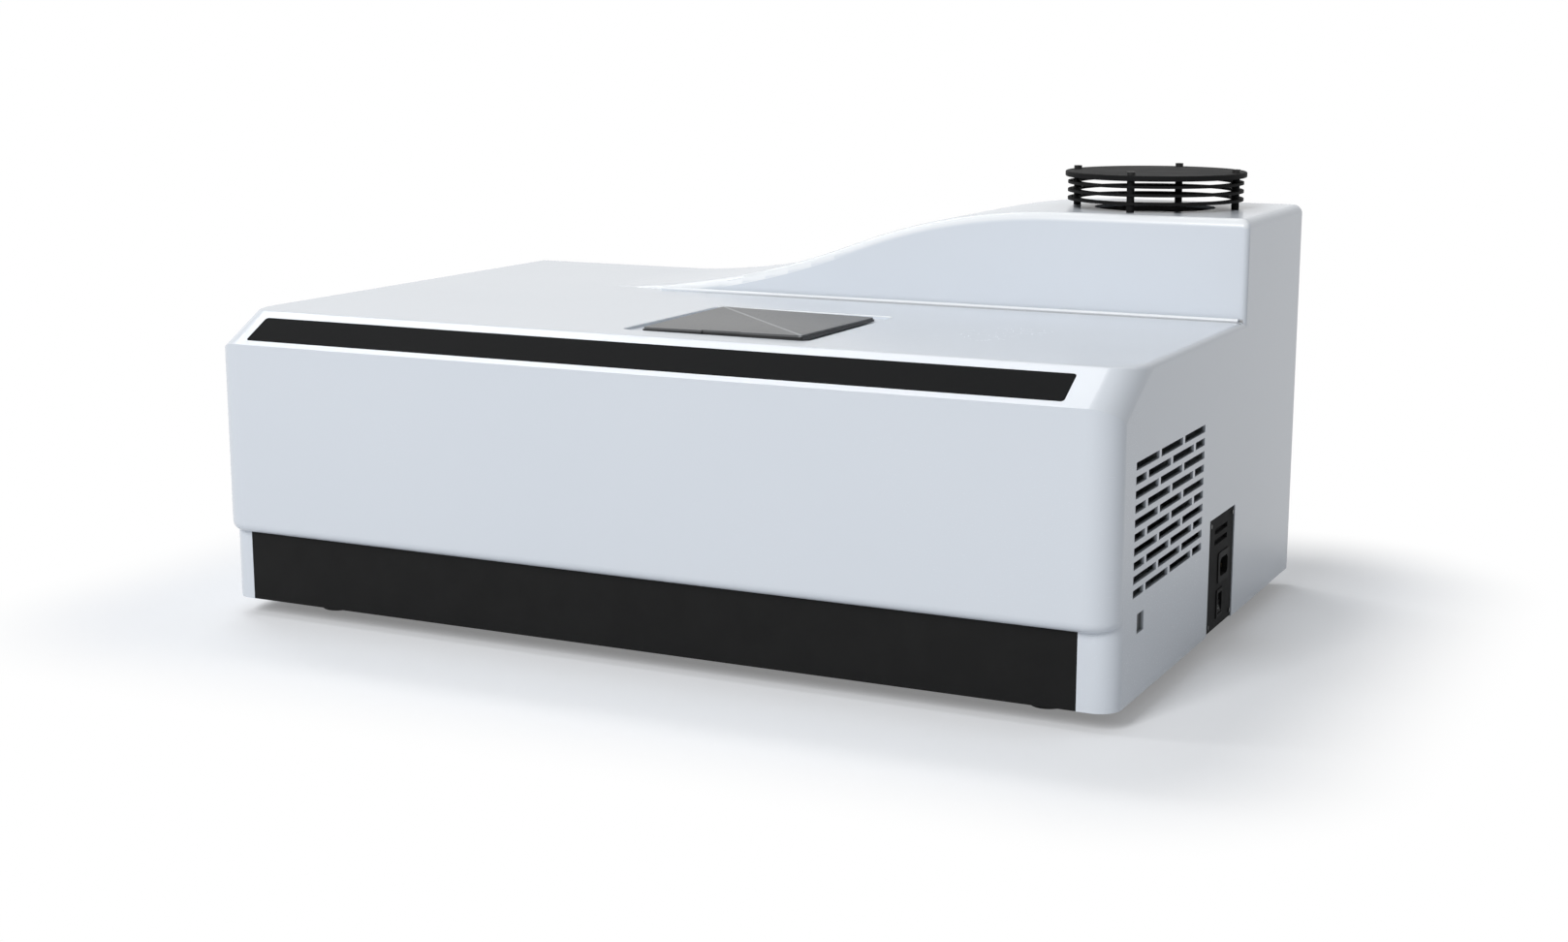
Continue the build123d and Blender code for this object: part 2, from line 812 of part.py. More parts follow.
with BuildPart() as switch_rocker:
    rocker_width = switch_width - 2 * switch_rim - 2 * rocker_gap
    tilted = Plane(
        origin=(rocker_x, switch_y - rocker_width / 2, switch_z),
        x_dir=(cos(radians(rocker_angle)), 0, sin(radians(rocker_angle))),
        z_dir=(0, -1, 0),
    )
    with BuildSketch(tilted):
        with BuildLine():
            Polyline(
                (-rocker_back, rocker_half / 2),
                (rocker_front, rocker_half),
                (rocker_front - rocker_dip, 0),
                (rocker_front, -rocker_half),
                (-rocker_back, -rocker_half / 2),
                close=True,
            )
        make_face()
    extrude(amount=-rocker_width)
    pin_ends = rocker_width + 2 * rocker_gap + switch_rim
    rod((rocker_x, switch_y - pin_ends / 2, switch_z), rocker_pin_radius, pin_ends, axis="Y")
save(switch_rocker.part, "switch_rocker")

with BuildPart() as side_port_insert:
    low_y = front_face + side_port_front
    block(
        (inner_right - side_port_plate, inner_right),
        (low_y - side_port_margin, low_y + side_port_width + side_port_margin),
        (side_port_bottom - side_port_margin, side_port_bottom + side_port_height + side_port_margin),
    )
save(side_port_insert.part, "side_port_insert")

# ---------------------------------------------------------------- sample lid
back_left = Vector(lid_left, lid_rear, deck_height + lid_ridge)
front_right = Vector(lid_right, lid_front, deck_height + lid_ridge)
front_left = Vector(lid_left, lid_front, deck_height + lid_low)
back_right = Vector(lid_right, lid_rear, deck_height + lid_low)
diagonal = front_right - back_left
left_facet = Plane(origin=back_left, z_dir=(front_left - back_left).cross(diagonal))
right_facet = Plane(origin=back_left, z_dir=diagonal.cross(back_right - back_left))


def faceted_slab(bottom, border, drop):
    """Lid outline cut by the two facets that meet along its diagonal."""
    with BuildPart() as slab:
        with BuildSketch(Plane.XY.offset(bottom)):
            with Locations((lid_x, lid_y)):
                RectangleRounded(lid_width - 2 * border, lid_depth - 2 * border, lid_radius)
        extrude(amount=deck_height + 2 * lid_ridge - bottom)
        split(bisect_by=left_facet.offset(-drop), keep=Keep.BOTTOM)
        split(bisect_by=right_facet.offset(-drop), keep=Keep.BOTTOM)
        notch_y = lid_front + lid_notch_depth
        block(
            (lid_x - lid_notch_width / 2, lid_x + lid_notch_width / 2),
            (lid_front - lid_notch_depth, notch_y + border),
            (bottom, deck_height + 2 * lid_ridge),
            mode=Mode.SUBTRACT,
        )
    return slab.part


with BuildPart() as lid_skin:
    add(faceted_slab(lid_bottom, lid_border, 0))
    add(faceted_slab(lid_bottom, 0, lid_skin_thickness), mode=Mode.SUBTRACT)
save(lid_skin.part, "lid_skin")

with BuildPart() as lid_frame:
    add(faceted_slab(lid_bottom, 0, lid_skin_thickness))
    # plug that drops into the sample opening
    block(
        (lid_x - plug_size / 2, lid_x + plug_size / 2),
        (lid_y - plug_size / 2, lid_y + plug_size / 2),
        (lid_bottom - plug_depth, lid_bottom),
    )
    # two hinge arms, curled down to the pins behind the lid
    arm_top = deck_height + lid_low / 2
    arm_start = lid_rear - lid_border / 2
    for hinge_x in (lid_x - hinge_span_width / 2, lid_x + hinge_span_width / 2):
        with BuildSketch(Plane.YZ.offset(hinge_x - knuckle_width / 2)):
            with BuildLine():
                Polyline(
                    (arm_start, arm_top),
                    (arm_start, lid_bottom),
                    (hinge_y - knuckle_radius, lid_bottom),
                    (hinge_y - knuckle_radius, hinge_z),
                    (hinge_y, hinge_z),
                    (hinge_y, hinge_z + knuckle_radius),
                    (hinge_y - knuckle_radius, arm_top),
                    close=True,
                )
            make_face()
            with Locations((hinge_y, hinge_z)):
                Circle(knuckle_radius)
                Circle(hinge_pin_radius + running_clearance, mode=Mode.SUBTRACT)
        extrude(amount=knuckle_width)
save(lid_frame.part, "lid_frame")

with BuildPart() as lid_seal:
    with BuildSketch(Plane.XY.offset(pocket_floor)):
        with Locations((lid_x, lid_y)):
            RectangleRounded(
                opening_size + 2 * seal_width, opening_size + 2 * seal_width, seal_width
            )
            Rectangle(opening_size, opening_size, mode=Mode.SUBTRACT)
    extrude(amount=seal_height)
save(lid_seal.part, "lid_seal")

slot_half = knuckle_width / 2 + side_clearance
bracket_depth = 2 * (knuckle_radius + hinge_below_deck)
with BuildPart() as hinge_brackets:
    for hinge_x in (lid_x - hinge_span_width / 2, lid_x + hinge_span_width / 2):
        outer = slot_half + ear_thickness
        block(
            (hinge_x - outer - ear_thickness, hinge_x + outer + ear_thickness),
            (hinge_y - bracket_depth / 2, hinge_y + bracket_depth / 2),
            (pocket_under - 2 * knuckle_radius, pocket_under),
        )
        block(
            (hinge_x - outer, hinge_x + outer),
            (hinge_y - knuckle_radius, hinge_y + knuckle_radius),
            (pocket_under, pocket_floor - bracket_drop),
        )
        block(
            (hinge_x - slot_half, hinge_x + slot_half),
            (hinge_y - bracket_depth, hinge_y + bracket_depth),
            (hinge_z - knuckle_radius - side_clearance, pocket_floor),
            mode=Mode.SUBTRACT,
        )
        rod((hinge_x - outer, hinge_y, hinge_z), hinge_pin_radius, 2 * outer, "X", Mode.SUBTRACT)
save(hinge_brackets.part, "hinge_brackets")

with BuildPart() as hinge_pins:
    for hinge_x in (lid_x - hinge_span_width / 2, lid_x + hinge_span_width / 2):
        outer = slot_half + ear_thickness
        rod((hinge_x - outer, hinge_y, hinge_z), hinge_pin_radius, 2 * outer, "X")
save(hinge_pins.part, "hinge_pins")

# ---------------------------------------------------------------- sample chamber
chamber_cavity = opening_size / 2
with BuildPart() as sample_chamber:
    block(
        (lid_x - chamber_half, lid_x + chamber_half),
        (lid_y - chamber_half, lid_y + chamber_half),
        (bench_top, pocket_under),
    )
    block(
        (lid_x - chamber_cavity, lid_x + chamber_cavity),
        (lid_y - chamber_cavity, lid_y + chamber_cavity),
        (chamber_bottom, pocket_under),
        mode=Mode.SUBTRACT,
    )
    side_wall = chamber_half - chamber_cavity
    port = (lid_x - chamber_half, lid_y, beam_height)
    rod(port, port_radius, side_wall, "X", Mode.SUBTRACT)
    port = (lid_x, lid_y + chamber_cavity, beam_height)
    rod(port, port_radius, side_wall, "Y", Mode.SUBTRACT)
save(sample_chamber.part, "sample_chamber")


def lens(centre, direction):
    """Biconvex lens, its axis along a direction."""
    rim = port_radius - running_clearance
    half = lens_thickness / 2
    with BuildPart() as glass:
        with BuildSketch(Plane.XZ):
            with BuildLine():
                ThreePointArc((-rim, half), (0, half + lens_bulge), (rim, half))
                Line((rim, half), (rim, -half))
                ThreePointArc((rim, -half), (0, -half - lens_bulge), (-rim, -half))
                Line((-rim, -half), (-rim, half))
            make_face()
            split(bisect_by=Plane.YZ)
        revolve(axis=Axis.Z)
    return Plane(origin=centre, z_dir=direction).location * glass.part


with BuildPart() as beam_lenses:
    wall_middle = chamber_cavity + side_wall / 2
    add(lens((lid_x - wall_middle, lid_y, beam_height), (1, 0, 0)))
    add(lens((lid_x, lid_y + wall_middle, beam_height), (0, 1, 0)))
save(beam_lenses.part, "beam_lenses")

with BuildPart() as cuvette_holder:
    holder_top = beam_height + holder_above_beam
    block(
        (lid_x - holder_size / 2, lid_x + holder_size / 2),
        (lid_y - holder_size / 2, lid_y + holder_size / 2),
        (chamber_bottom, holder_top),
    )
    block(
        (lid_x - cuvette_size / 2, lid_x + cuvette_size / 2),
        (lid_y - cuvette_size / 2, lid_y + cuvette_size / 2),
        (beam_height - cuvette_below_beam, holder_top),
        mode=Mode.SUBTRACT,
    )
    low_x = lid_x - holder_size / 2
    low_y = lid_y - holder_size / 2
    rod((low_x, lid_y, beam_height), window_radius, holder_size, "X", Mode.SUBTRACT)
    rod((lid_x, low_y, beam_height), window_radius, holder_size, "Y", Mode.SUBTRACT)
save(cuvette_holder.part, "cuvette_holder")

# ---------------------------------------------------------------- exhaust stack
with BuildPart() as exhaust_posts:
    with BuildSketch(Plane.XY.offset(tower_height)):
        with Locations((exhaust_x, exhaust_y)):
            with PolarLocations(post_circle_radius, post_count):
                Circle(post_radius)
    extrude(amount=cap_gap_height)
    with BuildSketch(Plane.XY.offset(tower_height)):
        with Locations((exhaust_x, exhaust_y)):
            with PolarLocations(post_circle_radius, post_count):
                Circle(stud_radius)
    extrude(amount=-stud_length)
save(exhaust_posts.part, "exhaust_posts")

for index in range(ring_count):
    with BuildPart() as exhaust_ring:
        with BuildSketch(Plane.XY.offset(tower_height + ring_first_gap + index * ring_pitch)):
            with Locations((exhaust_x, exhaust_y)):
                Circle(ring_outer)
                Circle(ring_inner, mode=Mode.SUBTRACT)
                with PolarLocations(post_circle_radius, post_count):
                    Circle(post_radius + stud_clearance, mode=Mode.SUBTRACT)
        extrude(amount=ring_thickness)
    save(exhaust_ring.part, f"exhaust_ring_{index + 1}")

cap_bottom = tower_height + cap_gap_height
cap_top = cap_bottom + cap_thickness
with BuildPart() as exhaust_cap:
    with BuildSketch(Plane.XY.offset(cap_bottom)):
        with Locations((exhaust_x, exhaust_y)):
            Circle(cap_radius)
    extrude(amount=cap_thickness)
    fillet(exhaust_cap.edges().filter_by(GeomType.CIRCLE), cap_edge)
save(exhaust_cap.part, "exhaust_cap")

with BuildPart() as cap_screws:
    with BuildSketch(Plane.XY.offset(cap_top)):
        with Locations((exhaust_x, exhaust_y)):
            with PolarLocations(post_circle_radius, post_count):
                Circle(cap_screw_radius)
    extrude(amount=cap_screw_height)
    with BuildSketch(Plane.XY.offset(cap_top + cap_screw_height)):
        with Locations((exhaust_x, exhaust_y)):
            with PolarLocations(post_circle_radius, post_count):
                RegularPolygon(cap_screw_socket, 6)
    extrude(amount=-cap_screw_height / 2, mode=Mode.SUBTRACT)
save(cap_screws.part, "cap_screws")

# ---------------------------------------------------------------- fan
with BuildPart() as fan_frame:
    with BuildSketch(Plane.XY.offset(fan_bottom)):
        with Locations((exhaust_x, exhaust_y)):
            RectangleRounded(fan_size, fan_size, fan_corner)
            Circle(fan_bore, mode=Mode.SUBTRACT)
    extrude(amount=fan_height)
    with BuildSketch(Plane.XY.offset(fan_bottom)):
        with Locations((exhaust_x, exhaust_y)):
            Rectangle(2 * fan_bore + fan_strut_height, fan_strut)
            Rectangle(fan_strut, 2 * fan_bore + fan_strut_height)
            Circle(fan_hub_radius)
    extrude(amount=fan_strut_height)
    rod((exhaust_x, exhaust_y, fan_bottom), fan_hub_radius, fan_motor_height)
    shaft_bore = fan_shaft_radius + running_clearance
    rod((exhaust_x, exhaust_y, fan_bottom), shaft_bore, fan_motor_height, mode=Mode.SUBTRACT)
save(fan_frame.part, "fan_frame")

with BuildPart() as fan_rotor:
    hub_bottom = fan_bottom + fan_motor_height + fan_rotor_gap
    hub_height = tower_inside - 2 * fan_rotor_gap - hub_bottom
    rod((exhaust_x, exhaust_y, hub_bottom), fan_hub_radius, hub_height)
    rod((exhaust_x, exhaust_y, fan_bottom), fan_shaft_radius, fan_motor_height + 2 * fan_rotor_gap)
    for index in range(fan_blades):
        turn = radians(360 / fan_blades * index)
        outward = Vector(cos(turn), sin(turn), 0)
        sideways = Vector(-sin(turn), cos(turn), 0)
        pitch = radians(fan_blade_angle)
        chord_line = sideways * cos(pitch) + Vector(0, 0, sin(pitch))
        root = Vector(exhaust_x, exhaust_y, hub_bottom + hub_height / 2)
        root += outward * (fan_hub_radius - fan_rotor_gap)
        with BuildSketch(Plane(origin=root, x_dir=chord_line, z_dir=outward)):
            Rectangle(hub_height - fan_rotor_gap, fan_blade_thickness)
        extrude(amount=fan_bore - fan_tip_gap - fan_hub_radius + fan_rotor_gap)
save(fan_rotor.part, "fan_rotor")

# ---------------------------------------------------------------- lamp
lamp_floor = tray_top + lamp_wall
with BuildPart() as lamp_housing:
    block(
        (exhaust_x - lamp_half, exhaust_x + lamp_half),
        (exhaust_y - lamp_half, exhaust_y + lamp_half),
        (tray_top, lamp_top),
    )
    block(
        (exhaust_x - lamp_half + lamp_wall, exhaust_x + lamp_half - lamp_wall),
        (exhaust_y - lamp_half + lamp_wall, exhaust_y + lamp_half - lamp_wall),
        (lamp_floor, lamp_top - lamp_wall),
        mode=Mode.SUBTRACT,
    )
    rod((exhaust_x, exhaust_y, lamp_top - lamp_wall), lamp_flue, lamp_wall, mode=Mode.SUBTRACT)
    outlet = (lamp_left, exhaust_y, beam_height)
    rod(outlet, tube_bore, lamp_wall, "X", Mode.SUBTRACT)
save(lamp_housing.part, "lamp_housing")

bulb_base = beam_height - bulb_length / 2 - bulb_stem_length
with BuildPart() as lamp_socket:
    rod((exhaust_x, exhaust_y, lamp_floor), socket_radius, bulb_base - lamp_floor)
    chamfer(lamp_socket.edges().group_by(Axis.Z)[-1], foot_chamfer)
save(lamp_socket.part, "lamp_socket")

with BuildPart() as arc_lamp:
    with BuildSketch(Plane.XZ.offset(-exhaust_y)) as half_section:
        with BuildLine():
            waist_low = beam_height - bulb_length / 2
            waist_high = beam_height + bulb_length / 2
            axis_low = (exhaust_x, bulb_base)
            axis_high = (exhaust_x, waist_high + bulb_stem_length)
            stem_x = exhaust_x + bulb_stem_radius
            Polyline(axis_high, axis_low, (stem_x, bulb_base), (stem_x, waist_low))
            belly = (exhaust_x + bulb_radius, beam_height)
            ThreePointArc((stem_x, waist_low), belly, (stem_x, waist_high))
            Polyline((stem_x, waist_high), (stem_x, axis_high[1]), axis_high)
        make_face()
    revolve(axis=Axis((exhaust_x, exhaust_y, 0), (0, 0, 1)))
save(arc_lamp.part, "arc_lamp")

with BuildPart() as lamp_reflector:
    centre = Vector(exhaust_x, beam_height)
    spread = degrees(acos(reflector_rim / reflector_radius))
    with BuildSketch(Plane.XZ.offset(-exhaust_y)):
        with BuildLine():
            inside = CenterArc(centre, reflector_radius, 0, spread)
            outside = CenterArc(centre, reflector_radius + reflector_sheet, 0, spread)
            Line(inside @ 0, outside @ 0)
            Line(inside @ 1, outside @ 1)
        make_face()
    revolve(axis=Axis((exhaust_x, exhaust_y, beam_height), (1, 0, 0)))
    stem_start = exhaust_x + reflector_radius + reflector_sheet / 2
    stem_length = exhaust_x + lamp_half - lamp_wall - stem_start
    rod((stem_start, exhaust_y, beam_height), reflector_boss, stem_length, "X")
save(lamp_reflector.part, "lamp_reflector")


# ---------------------------------------------------------------- monochromators
def mono_box(x_range, y_range, table):
    """Closed housing with a hole in its floor for the turntable's shaft."""
    with BuildPart() as box:
        block(x_range, y_range, (bench_top, mono_top))
        block(
            (x_range[0] + mono_wall, x_range[1] - mono_wall),
            (y_range[0] + mono_wall, y_range[1] - mono_wall),
            (bench_top + mono_wall, mono_top - mono_wall),
            mode=Mode.SUBTRACT,
        )
        rod((*table, bench_top), shaft_hole, mono_wall, mode=Mode.SUBTRACT)
    return box.part


excitation_x = (excitation_left, excitation_right)
excitation_y = (excitation_front, excitation_rear)
emission_x = (emission_left, emission_right)
emission_y = (emission_front, emission_rear)

with BuildPart() as excitation_housing:
    add(mono_box(excitation_x, excitation_y, excitation_table))
    inlet_hole = (excitation_right - mono_wall, exhaust_y, beam_height)
    rod(inlet_hole, tube_bore, mono_wall, "X", Mode.SUBTRACT)
    rod((lid_x, excitation_front, beam_height), filter_radius, mono_wall, "Y", Mode.SUBTRACT)
save(excitation_housing.part, "excitation_housing")

with BuildPart() as emission_housing:
    add(mono_box(emission_x, emission_y, emission_table))
    inlet_hole = (emission_right - mono_wall, lid_y, beam_height)
    rod(inlet_hole, tube_bore, mono_wall, "X", Mode.SUBTRACT)
    outlet = (pmt_x, emission_rear - mono_wall, beam_height)
    rod(outlet, filter_radius, mono_wall, "Y", Mode.SUBTRACT)
save(emission_housing.part, "emission_housing")


def turntable(table):
    """Round table on the shaft that comes up from its motor."""
    low = bench_bottom - motor_height / 2
    high = bench_top + mono_wall + table_gap
    with BuildPart() as turning:
        rod((*table, low), shaft_radius, high - low)
        rod((*table, high), table_radius, table_thickness)
    return turning.part


def grating(table):
    """Grating plate standing across its turntable."""
    low = bench_top + mono_wall + table_gap + table_thickness
    with BuildPart() as plate:
        with BuildSketch(Plane.XY.offset(low)):
            with Locations(Location((*table, 0), (0, 0, grating_turn))):
                Rectangle(grating_width - table_thickness, grating_thickness)
        extrude(amount=grating_height)
    return plate.part


save(turntable(excitation_table), "excitation_turntable")
save(turntable(emission_table), "emission_turntable")
save(grating(excitation_table), "excitation_grating")
save(grating(emission_table), "emission_grating")

with BuildPart() as grating_motors:
    with BuildSketch(Plane.XY.offset(bench_bottom)):
        with Locations(excitation_table, emission_table):
            RectangleRounded(motor_size, motor_size, motor_corner)
    extrude(amount=-motor_height)
    with Locations(Plane.XY.offset(bench_bottom)):
        with Locations(excitation_table, emission_table):
            Hole(shaft_radius + running_clearance, depth=motor_height / 2 + table_gap)
save(grating_motors.part, "grating_motors")

# mirrors stand on the housing floors, turned towards the grating and the port
mono_floor = bench_top + mono_wall
mirror_spots = [
    (excitation_left + mirror_width, exhaust_y, -60),
    (lid_x, excitation_front + mirror_width, 40),
    (emission_left + mirror_width / 1.5, lid_y, 75),
    (pmt_x, emission_rear - mirror_width, -30),
]
with BuildPart() as fold_mirrors:
    with BuildSketch(Plane.XY.offset(mono_floor + mirror_foot)):
        for x, y, turn in mirror_spots:
            with Locations(Location((x, y, 0), (0, 0, turn))):
                Rectangle(mirror_width, mirror_thickness)
    extrude(amount=2 * (beam_height - mono_floor - mirror_foot))
save(fold_mirrors.part, "fold_mirrors")

with BuildPart() as mirror_feet:
    with BuildSketch(Plane.XY.offset(mono_floor)):
        with Locations([(x, y) for x, y, turn in mirror_spots]):
            Circle(mirror_foot)
    extrude(amount=mirror_foot)
save(mirror_feet.part, "mirror_feet")


def slit_plate(plane):
    """Square plate with the narrow upright slit that light passes through."""
    with BuildPart() as plate:
        with BuildSketch(plane):
            Rectangle(slit_plate_size, slit_plate_size)
            Rectangle(slit_width, slit_length, mode=Mode.SUBTRACT)
        extrude(amount=slit_plate_thickness)
    return plate.part


facing_left = Plane(
    origin=(excitation_right - mono_wall, exhaust_y, beam_height), x_dir=(0, -1, 0), z_dir=(-1, 0, 0)
)
with BuildPart() as slit_plates:
    add(slit_plate(facing_left))
    inner_face = (lid_x, excitation_front + mono_wall, beam_height)
    add(slit_plate(Plane(origin=inner_face, x_dir=(-1, 0, 0), z_dir=(0, 1, 0))))
    inner_face = (emission_right - mono_wall, lid_y, beam_height)
    add(slit_plate(Plane(origin=inner_face, x_dir=(0, -1, 0), z_dir=(-1, 0, 0))))
    inner_face = (pmt_x, emission_rear - mono_wall, beam_height)
    add(slit_plate(Plane(origin=inner_face, x_dir=(1, 0, 0), z_dir=(0, -1, 0))))
save(slit_plates.part, "slit_plates")

with BuildPart() as beam_tubes:
    for start, end, y in (
        (excitation_right, lamp_left, exhaust_y),
        (emission_right, lid_x - chamber_half, lid_y),
    ):
        rod((start, y, beam_height), tube_radius, end - start, "X")
        rod((start, y, beam_height), tube_bore, end - start, "X", Mode.SUBTRACT)
save(beam_tubes.part, "beam_tubes")

# ---------------------------------------------------------------- filter wheel
wheel_axis = (lid_x, wheel_front, wheel_z)
with BuildPart() as filter_wheel:
    rod(wheel_axis, wheel_radius, wheel_thickness, "Y")
    with BuildSketch(Plane.XZ.offset(-wheel_front)):
        with Locations((lid_x, wheel_z)):
            with PolarLocations(filter_circle_radius, filter_count, start_angle=90):
                Circle(filter_radius)
    extrude(amount=-wheel_thickness, mode=Mode.SUBTRACT)
    rod((lid_x, wheel_rear, wheel_z), wheel_shaft_radius, wheel_shaft_length, "Y")
save(filter_wheel.part, "filter_wheel")

with BuildPart() as band_filters:
    with BuildSketch(Plane.XZ.offset(-(wheel_rear - wheel_thickness / 2 - filter_thickness / 2))):
        with Locations((lid_x, wheel_z)):
            with PolarLocations(filter_circle_radius, filter_count, start_angle=90):
                Circle(filter_radius - running_clearance)
    extrude(amount=-filter_thickness)
save(band_filters.part, "band_filters")

with BuildPart() as filter_motor:
    motor_front = wheel_rear + wheel_motor_gap
    rod((lid_x, motor_front, wheel_z), wheel_motor_radius, wheel_motor_length, "Y")
    bore = wheel_shaft_radius + running_clearance
    rod((lid_x, motor_front, wheel_z), bore, wheel_shaft_length - wheel_motor_gap + side_clearance, "Y",
        Mode.SUBTRACT)
save(filter_motor.part, "filter_motor")

# ---------------------------------------------------------------- detector
with BuildPart() as pmt_housing:
    pmt_x_range = (pmt_x - pmt_house_width / 2, pmt_x + pmt_house_width / 2)
    pmt_y_range = (emission_rear, emission_rear + pmt_house_depth)
    pmt_z_range = (bench_top, bench_top + pmt_house_height)
    block(pmt_x_range, pmt_y_range, pmt_z_range)
    hollow = [(low + mono_wall, high - mono_wall) for low, high in (pmt_x_range, pmt_y_range)]
    block(*hollow, (mono_floor, pmt_z_range[1] - mono_wall), mode=Mode.SUBTRACT)
    rod((pmt_x, emission_rear, beam_height), filter_radius, mono_wall, "Y", Mode.SUBTRACT)
save(pmt_housing.part, "pmt_housing")

pmt_y = emission_rear + pmt_house_depth / 2
with BuildPart() as pmt_base:
    rod((pmt_x, pmt_y, mono_floor), pmt_base_radius, pmt_base_height)
save(pmt_base.part, "pmt_base")

with BuildPart() as pmt_tube:
    rod((pmt_x, pmt_y, mono_floor + pmt_base_height), pmt_tube_radius, pmt_tube_length)
    fillet(pmt_tube.edges().group_by(Axis.Z)[-1], pmt_tube_radius / 3)
save(pmt_tube.part, "pmt_tube")

# ---------------------------------------------------------------- electronics
with BuildPart() as power_supply:
    supply_right = inner_right - supply_right_gap
    supply_y = front_face + supply_front
    block(
        (supply_right - supply_width, supply_right),
        (supply_y, supply_y + supply_length),
        (tray_top, tray_top + supply_height),
    )
    fillet(power_supply.edges().filter_by(Axis.Z), supply_corner)
save(power_supply.part, "power_supply")

with BuildPart() as board_standoffs:
    with BuildSketch(Plane.XY.offset(tray_top)):
        with Locations((board_x, board_y)):
            inset = 4 * board_standoff_radius
            with GridLocations(board_width - inset, board_length - inset, 2, 2):
                Circle(board_standoff_radius)
    extrude(amount=board_height)
save(board_standoffs.part, "board_standoffs")

board_bottom = tray_top + board_height
with BuildPart() as control_board:
    with BuildSketch(Plane.XY.offset(board_bottom)):
        with Locations((board_x, board_y)):
            Rectangle(board_width, board_length)
    extrude(amount=board_thickness)
save(control_board.part, "control_board")

with BuildPart() as board_chips:
    with BuildSketch(Plane.XY.offset(board_bottom + board_thickness)):
        with Locations((board_x, board_y)):
            with GridLocations(2 * chip_size, 2 * chip_size, 3, 2):
                Rectangle(chip_size, chip_size)
    extrude(amount=chip_height)
save(board_chips.part, "board_chips")
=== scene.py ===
# %% [markdown]
# # Benchtop fluorometer: finish, light and camera
#
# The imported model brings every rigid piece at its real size. This lesson dresses it: first the camera and the
# studio, then the shader groups that several finishes share, then one material for each finish, and last a few
# fittings that are too small for the solids. The solids themselves are never moved or changed.

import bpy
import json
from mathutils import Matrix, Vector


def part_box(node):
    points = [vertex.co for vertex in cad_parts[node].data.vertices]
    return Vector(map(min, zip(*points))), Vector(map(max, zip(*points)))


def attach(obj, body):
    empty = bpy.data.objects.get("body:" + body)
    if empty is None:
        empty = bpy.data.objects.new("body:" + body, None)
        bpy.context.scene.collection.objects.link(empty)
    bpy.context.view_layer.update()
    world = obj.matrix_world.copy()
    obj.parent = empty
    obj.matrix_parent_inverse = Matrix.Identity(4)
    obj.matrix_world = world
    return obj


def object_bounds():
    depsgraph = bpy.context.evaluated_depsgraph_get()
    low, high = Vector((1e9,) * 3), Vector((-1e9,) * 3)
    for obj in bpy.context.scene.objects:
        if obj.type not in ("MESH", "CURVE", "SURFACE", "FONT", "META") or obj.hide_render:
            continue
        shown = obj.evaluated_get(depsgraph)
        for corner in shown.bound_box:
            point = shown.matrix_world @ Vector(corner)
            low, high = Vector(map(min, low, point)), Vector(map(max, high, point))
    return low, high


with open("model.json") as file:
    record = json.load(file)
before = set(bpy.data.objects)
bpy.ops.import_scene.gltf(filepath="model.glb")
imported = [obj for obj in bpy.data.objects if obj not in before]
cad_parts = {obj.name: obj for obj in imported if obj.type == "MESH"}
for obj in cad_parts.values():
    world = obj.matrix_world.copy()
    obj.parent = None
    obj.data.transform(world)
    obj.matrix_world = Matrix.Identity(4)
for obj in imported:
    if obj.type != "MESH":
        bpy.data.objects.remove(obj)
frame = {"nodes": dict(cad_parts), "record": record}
cad_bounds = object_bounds()

# %% Imports and the box of the whole object
import json
from math import cos, radians, sin, tau

import bmesh
import bpy
from mathutils import Matrix, Vector

LOW, HIGH = Vector(cad_bounds[0]), Vector(cad_bounds[1])
print("object box in metres", tuple(round(v, 3) for v in HIGH - LOW))

# %% [markdown]
# ## Camera
#
# The instrument is seen from its right-hand front corner, a little above its deck, from about two metres. A lens
# of 51 mm on a 36 mm sensor keeps the same strength of perspective. A camera looks along its own -Z, so its
# turn is built from the viewing direction with `to_track_quat`.

# %% Camera at the operator's right
CAMERA_PLACE = Vector((0.8718, -1.745, 0.499))
CAMERA_YAW = radians(-26.23)
CAMERA_PITCH = radians(11.08)
LENS = 51.35

camera_data = bpy.data.cameras.new("camera")
camera_data.lens = LENS
camera_data.sensor_width = 36.0
camera_data.sensor_fit = "HORIZONTAL"
camera = bpy.data.objects.new("camera", camera_data)
looking = Vector(
    (sin(CAMERA_YAW) * cos(CAMERA_PITCH), cos(CAMERA_YAW) * cos(CAMERA_PITCH), -sin(CAMERA_PITCH))
)
camera.location = CAMERA_PLACE
camera.rotation_euler = looking.to_track_quat("-Z", "Y").to_euler()
bpy.context.scene.collection.objects.link(camera)
bpy.context.scene.camera = camera
bpy.context.scene.view_settings.view_transform = "Standard"
print("camera looks along", tuple(round(v, 3) for v in looking))

# %% [markdown]
# ## Studio
#
# White paint only looks like paint when something bright is mirrored in its edges. A large key lights the front,
# and two narrow softboxes hang above: one where the sloping band mirrors it towards the viewer, one where the
# tower's rounded crown does. Narrow boxes shine in the edges without washing out the deck. The world gives a
# little cool fill, and shows as plain white to the camera and in reflections.

# %% Node helpers and the rays that see the backdrop
def link(tree, source, output, target, socket):
    """Join an output to an input, both by name or number."""
    tree.links.new(source.outputs[output], target.inputs[socket])


def backdrop_ray(tree):
    """Value of 1 for what the camera, a mirror or glass sees straight on."""
    path = tree.nodes.new("ShaderNodeLightPath")
    seen = None
    for ray in ("Is Camera Ray", "Is Glossy Ray", "Is Transmission Ray"):
        if seen is None:
            seen = path.outputs[ray]
            continue
        either = tree.nodes.new("ShaderNodeMath")
        either.operation = "MAXIMUM"
        tree.links.new(seen, either.inputs[0])
        tree.links.new(path.outputs[ray], either.inputs[1])
        seen = either.outputs[0]
    return seen


print("backdrop helpers ready")

# %% World: cool fill, white backdrop
FILL_STRENGTH = 0.28
FILL_COLOUR = (0.95, 0.975, 1.0, 1.0)

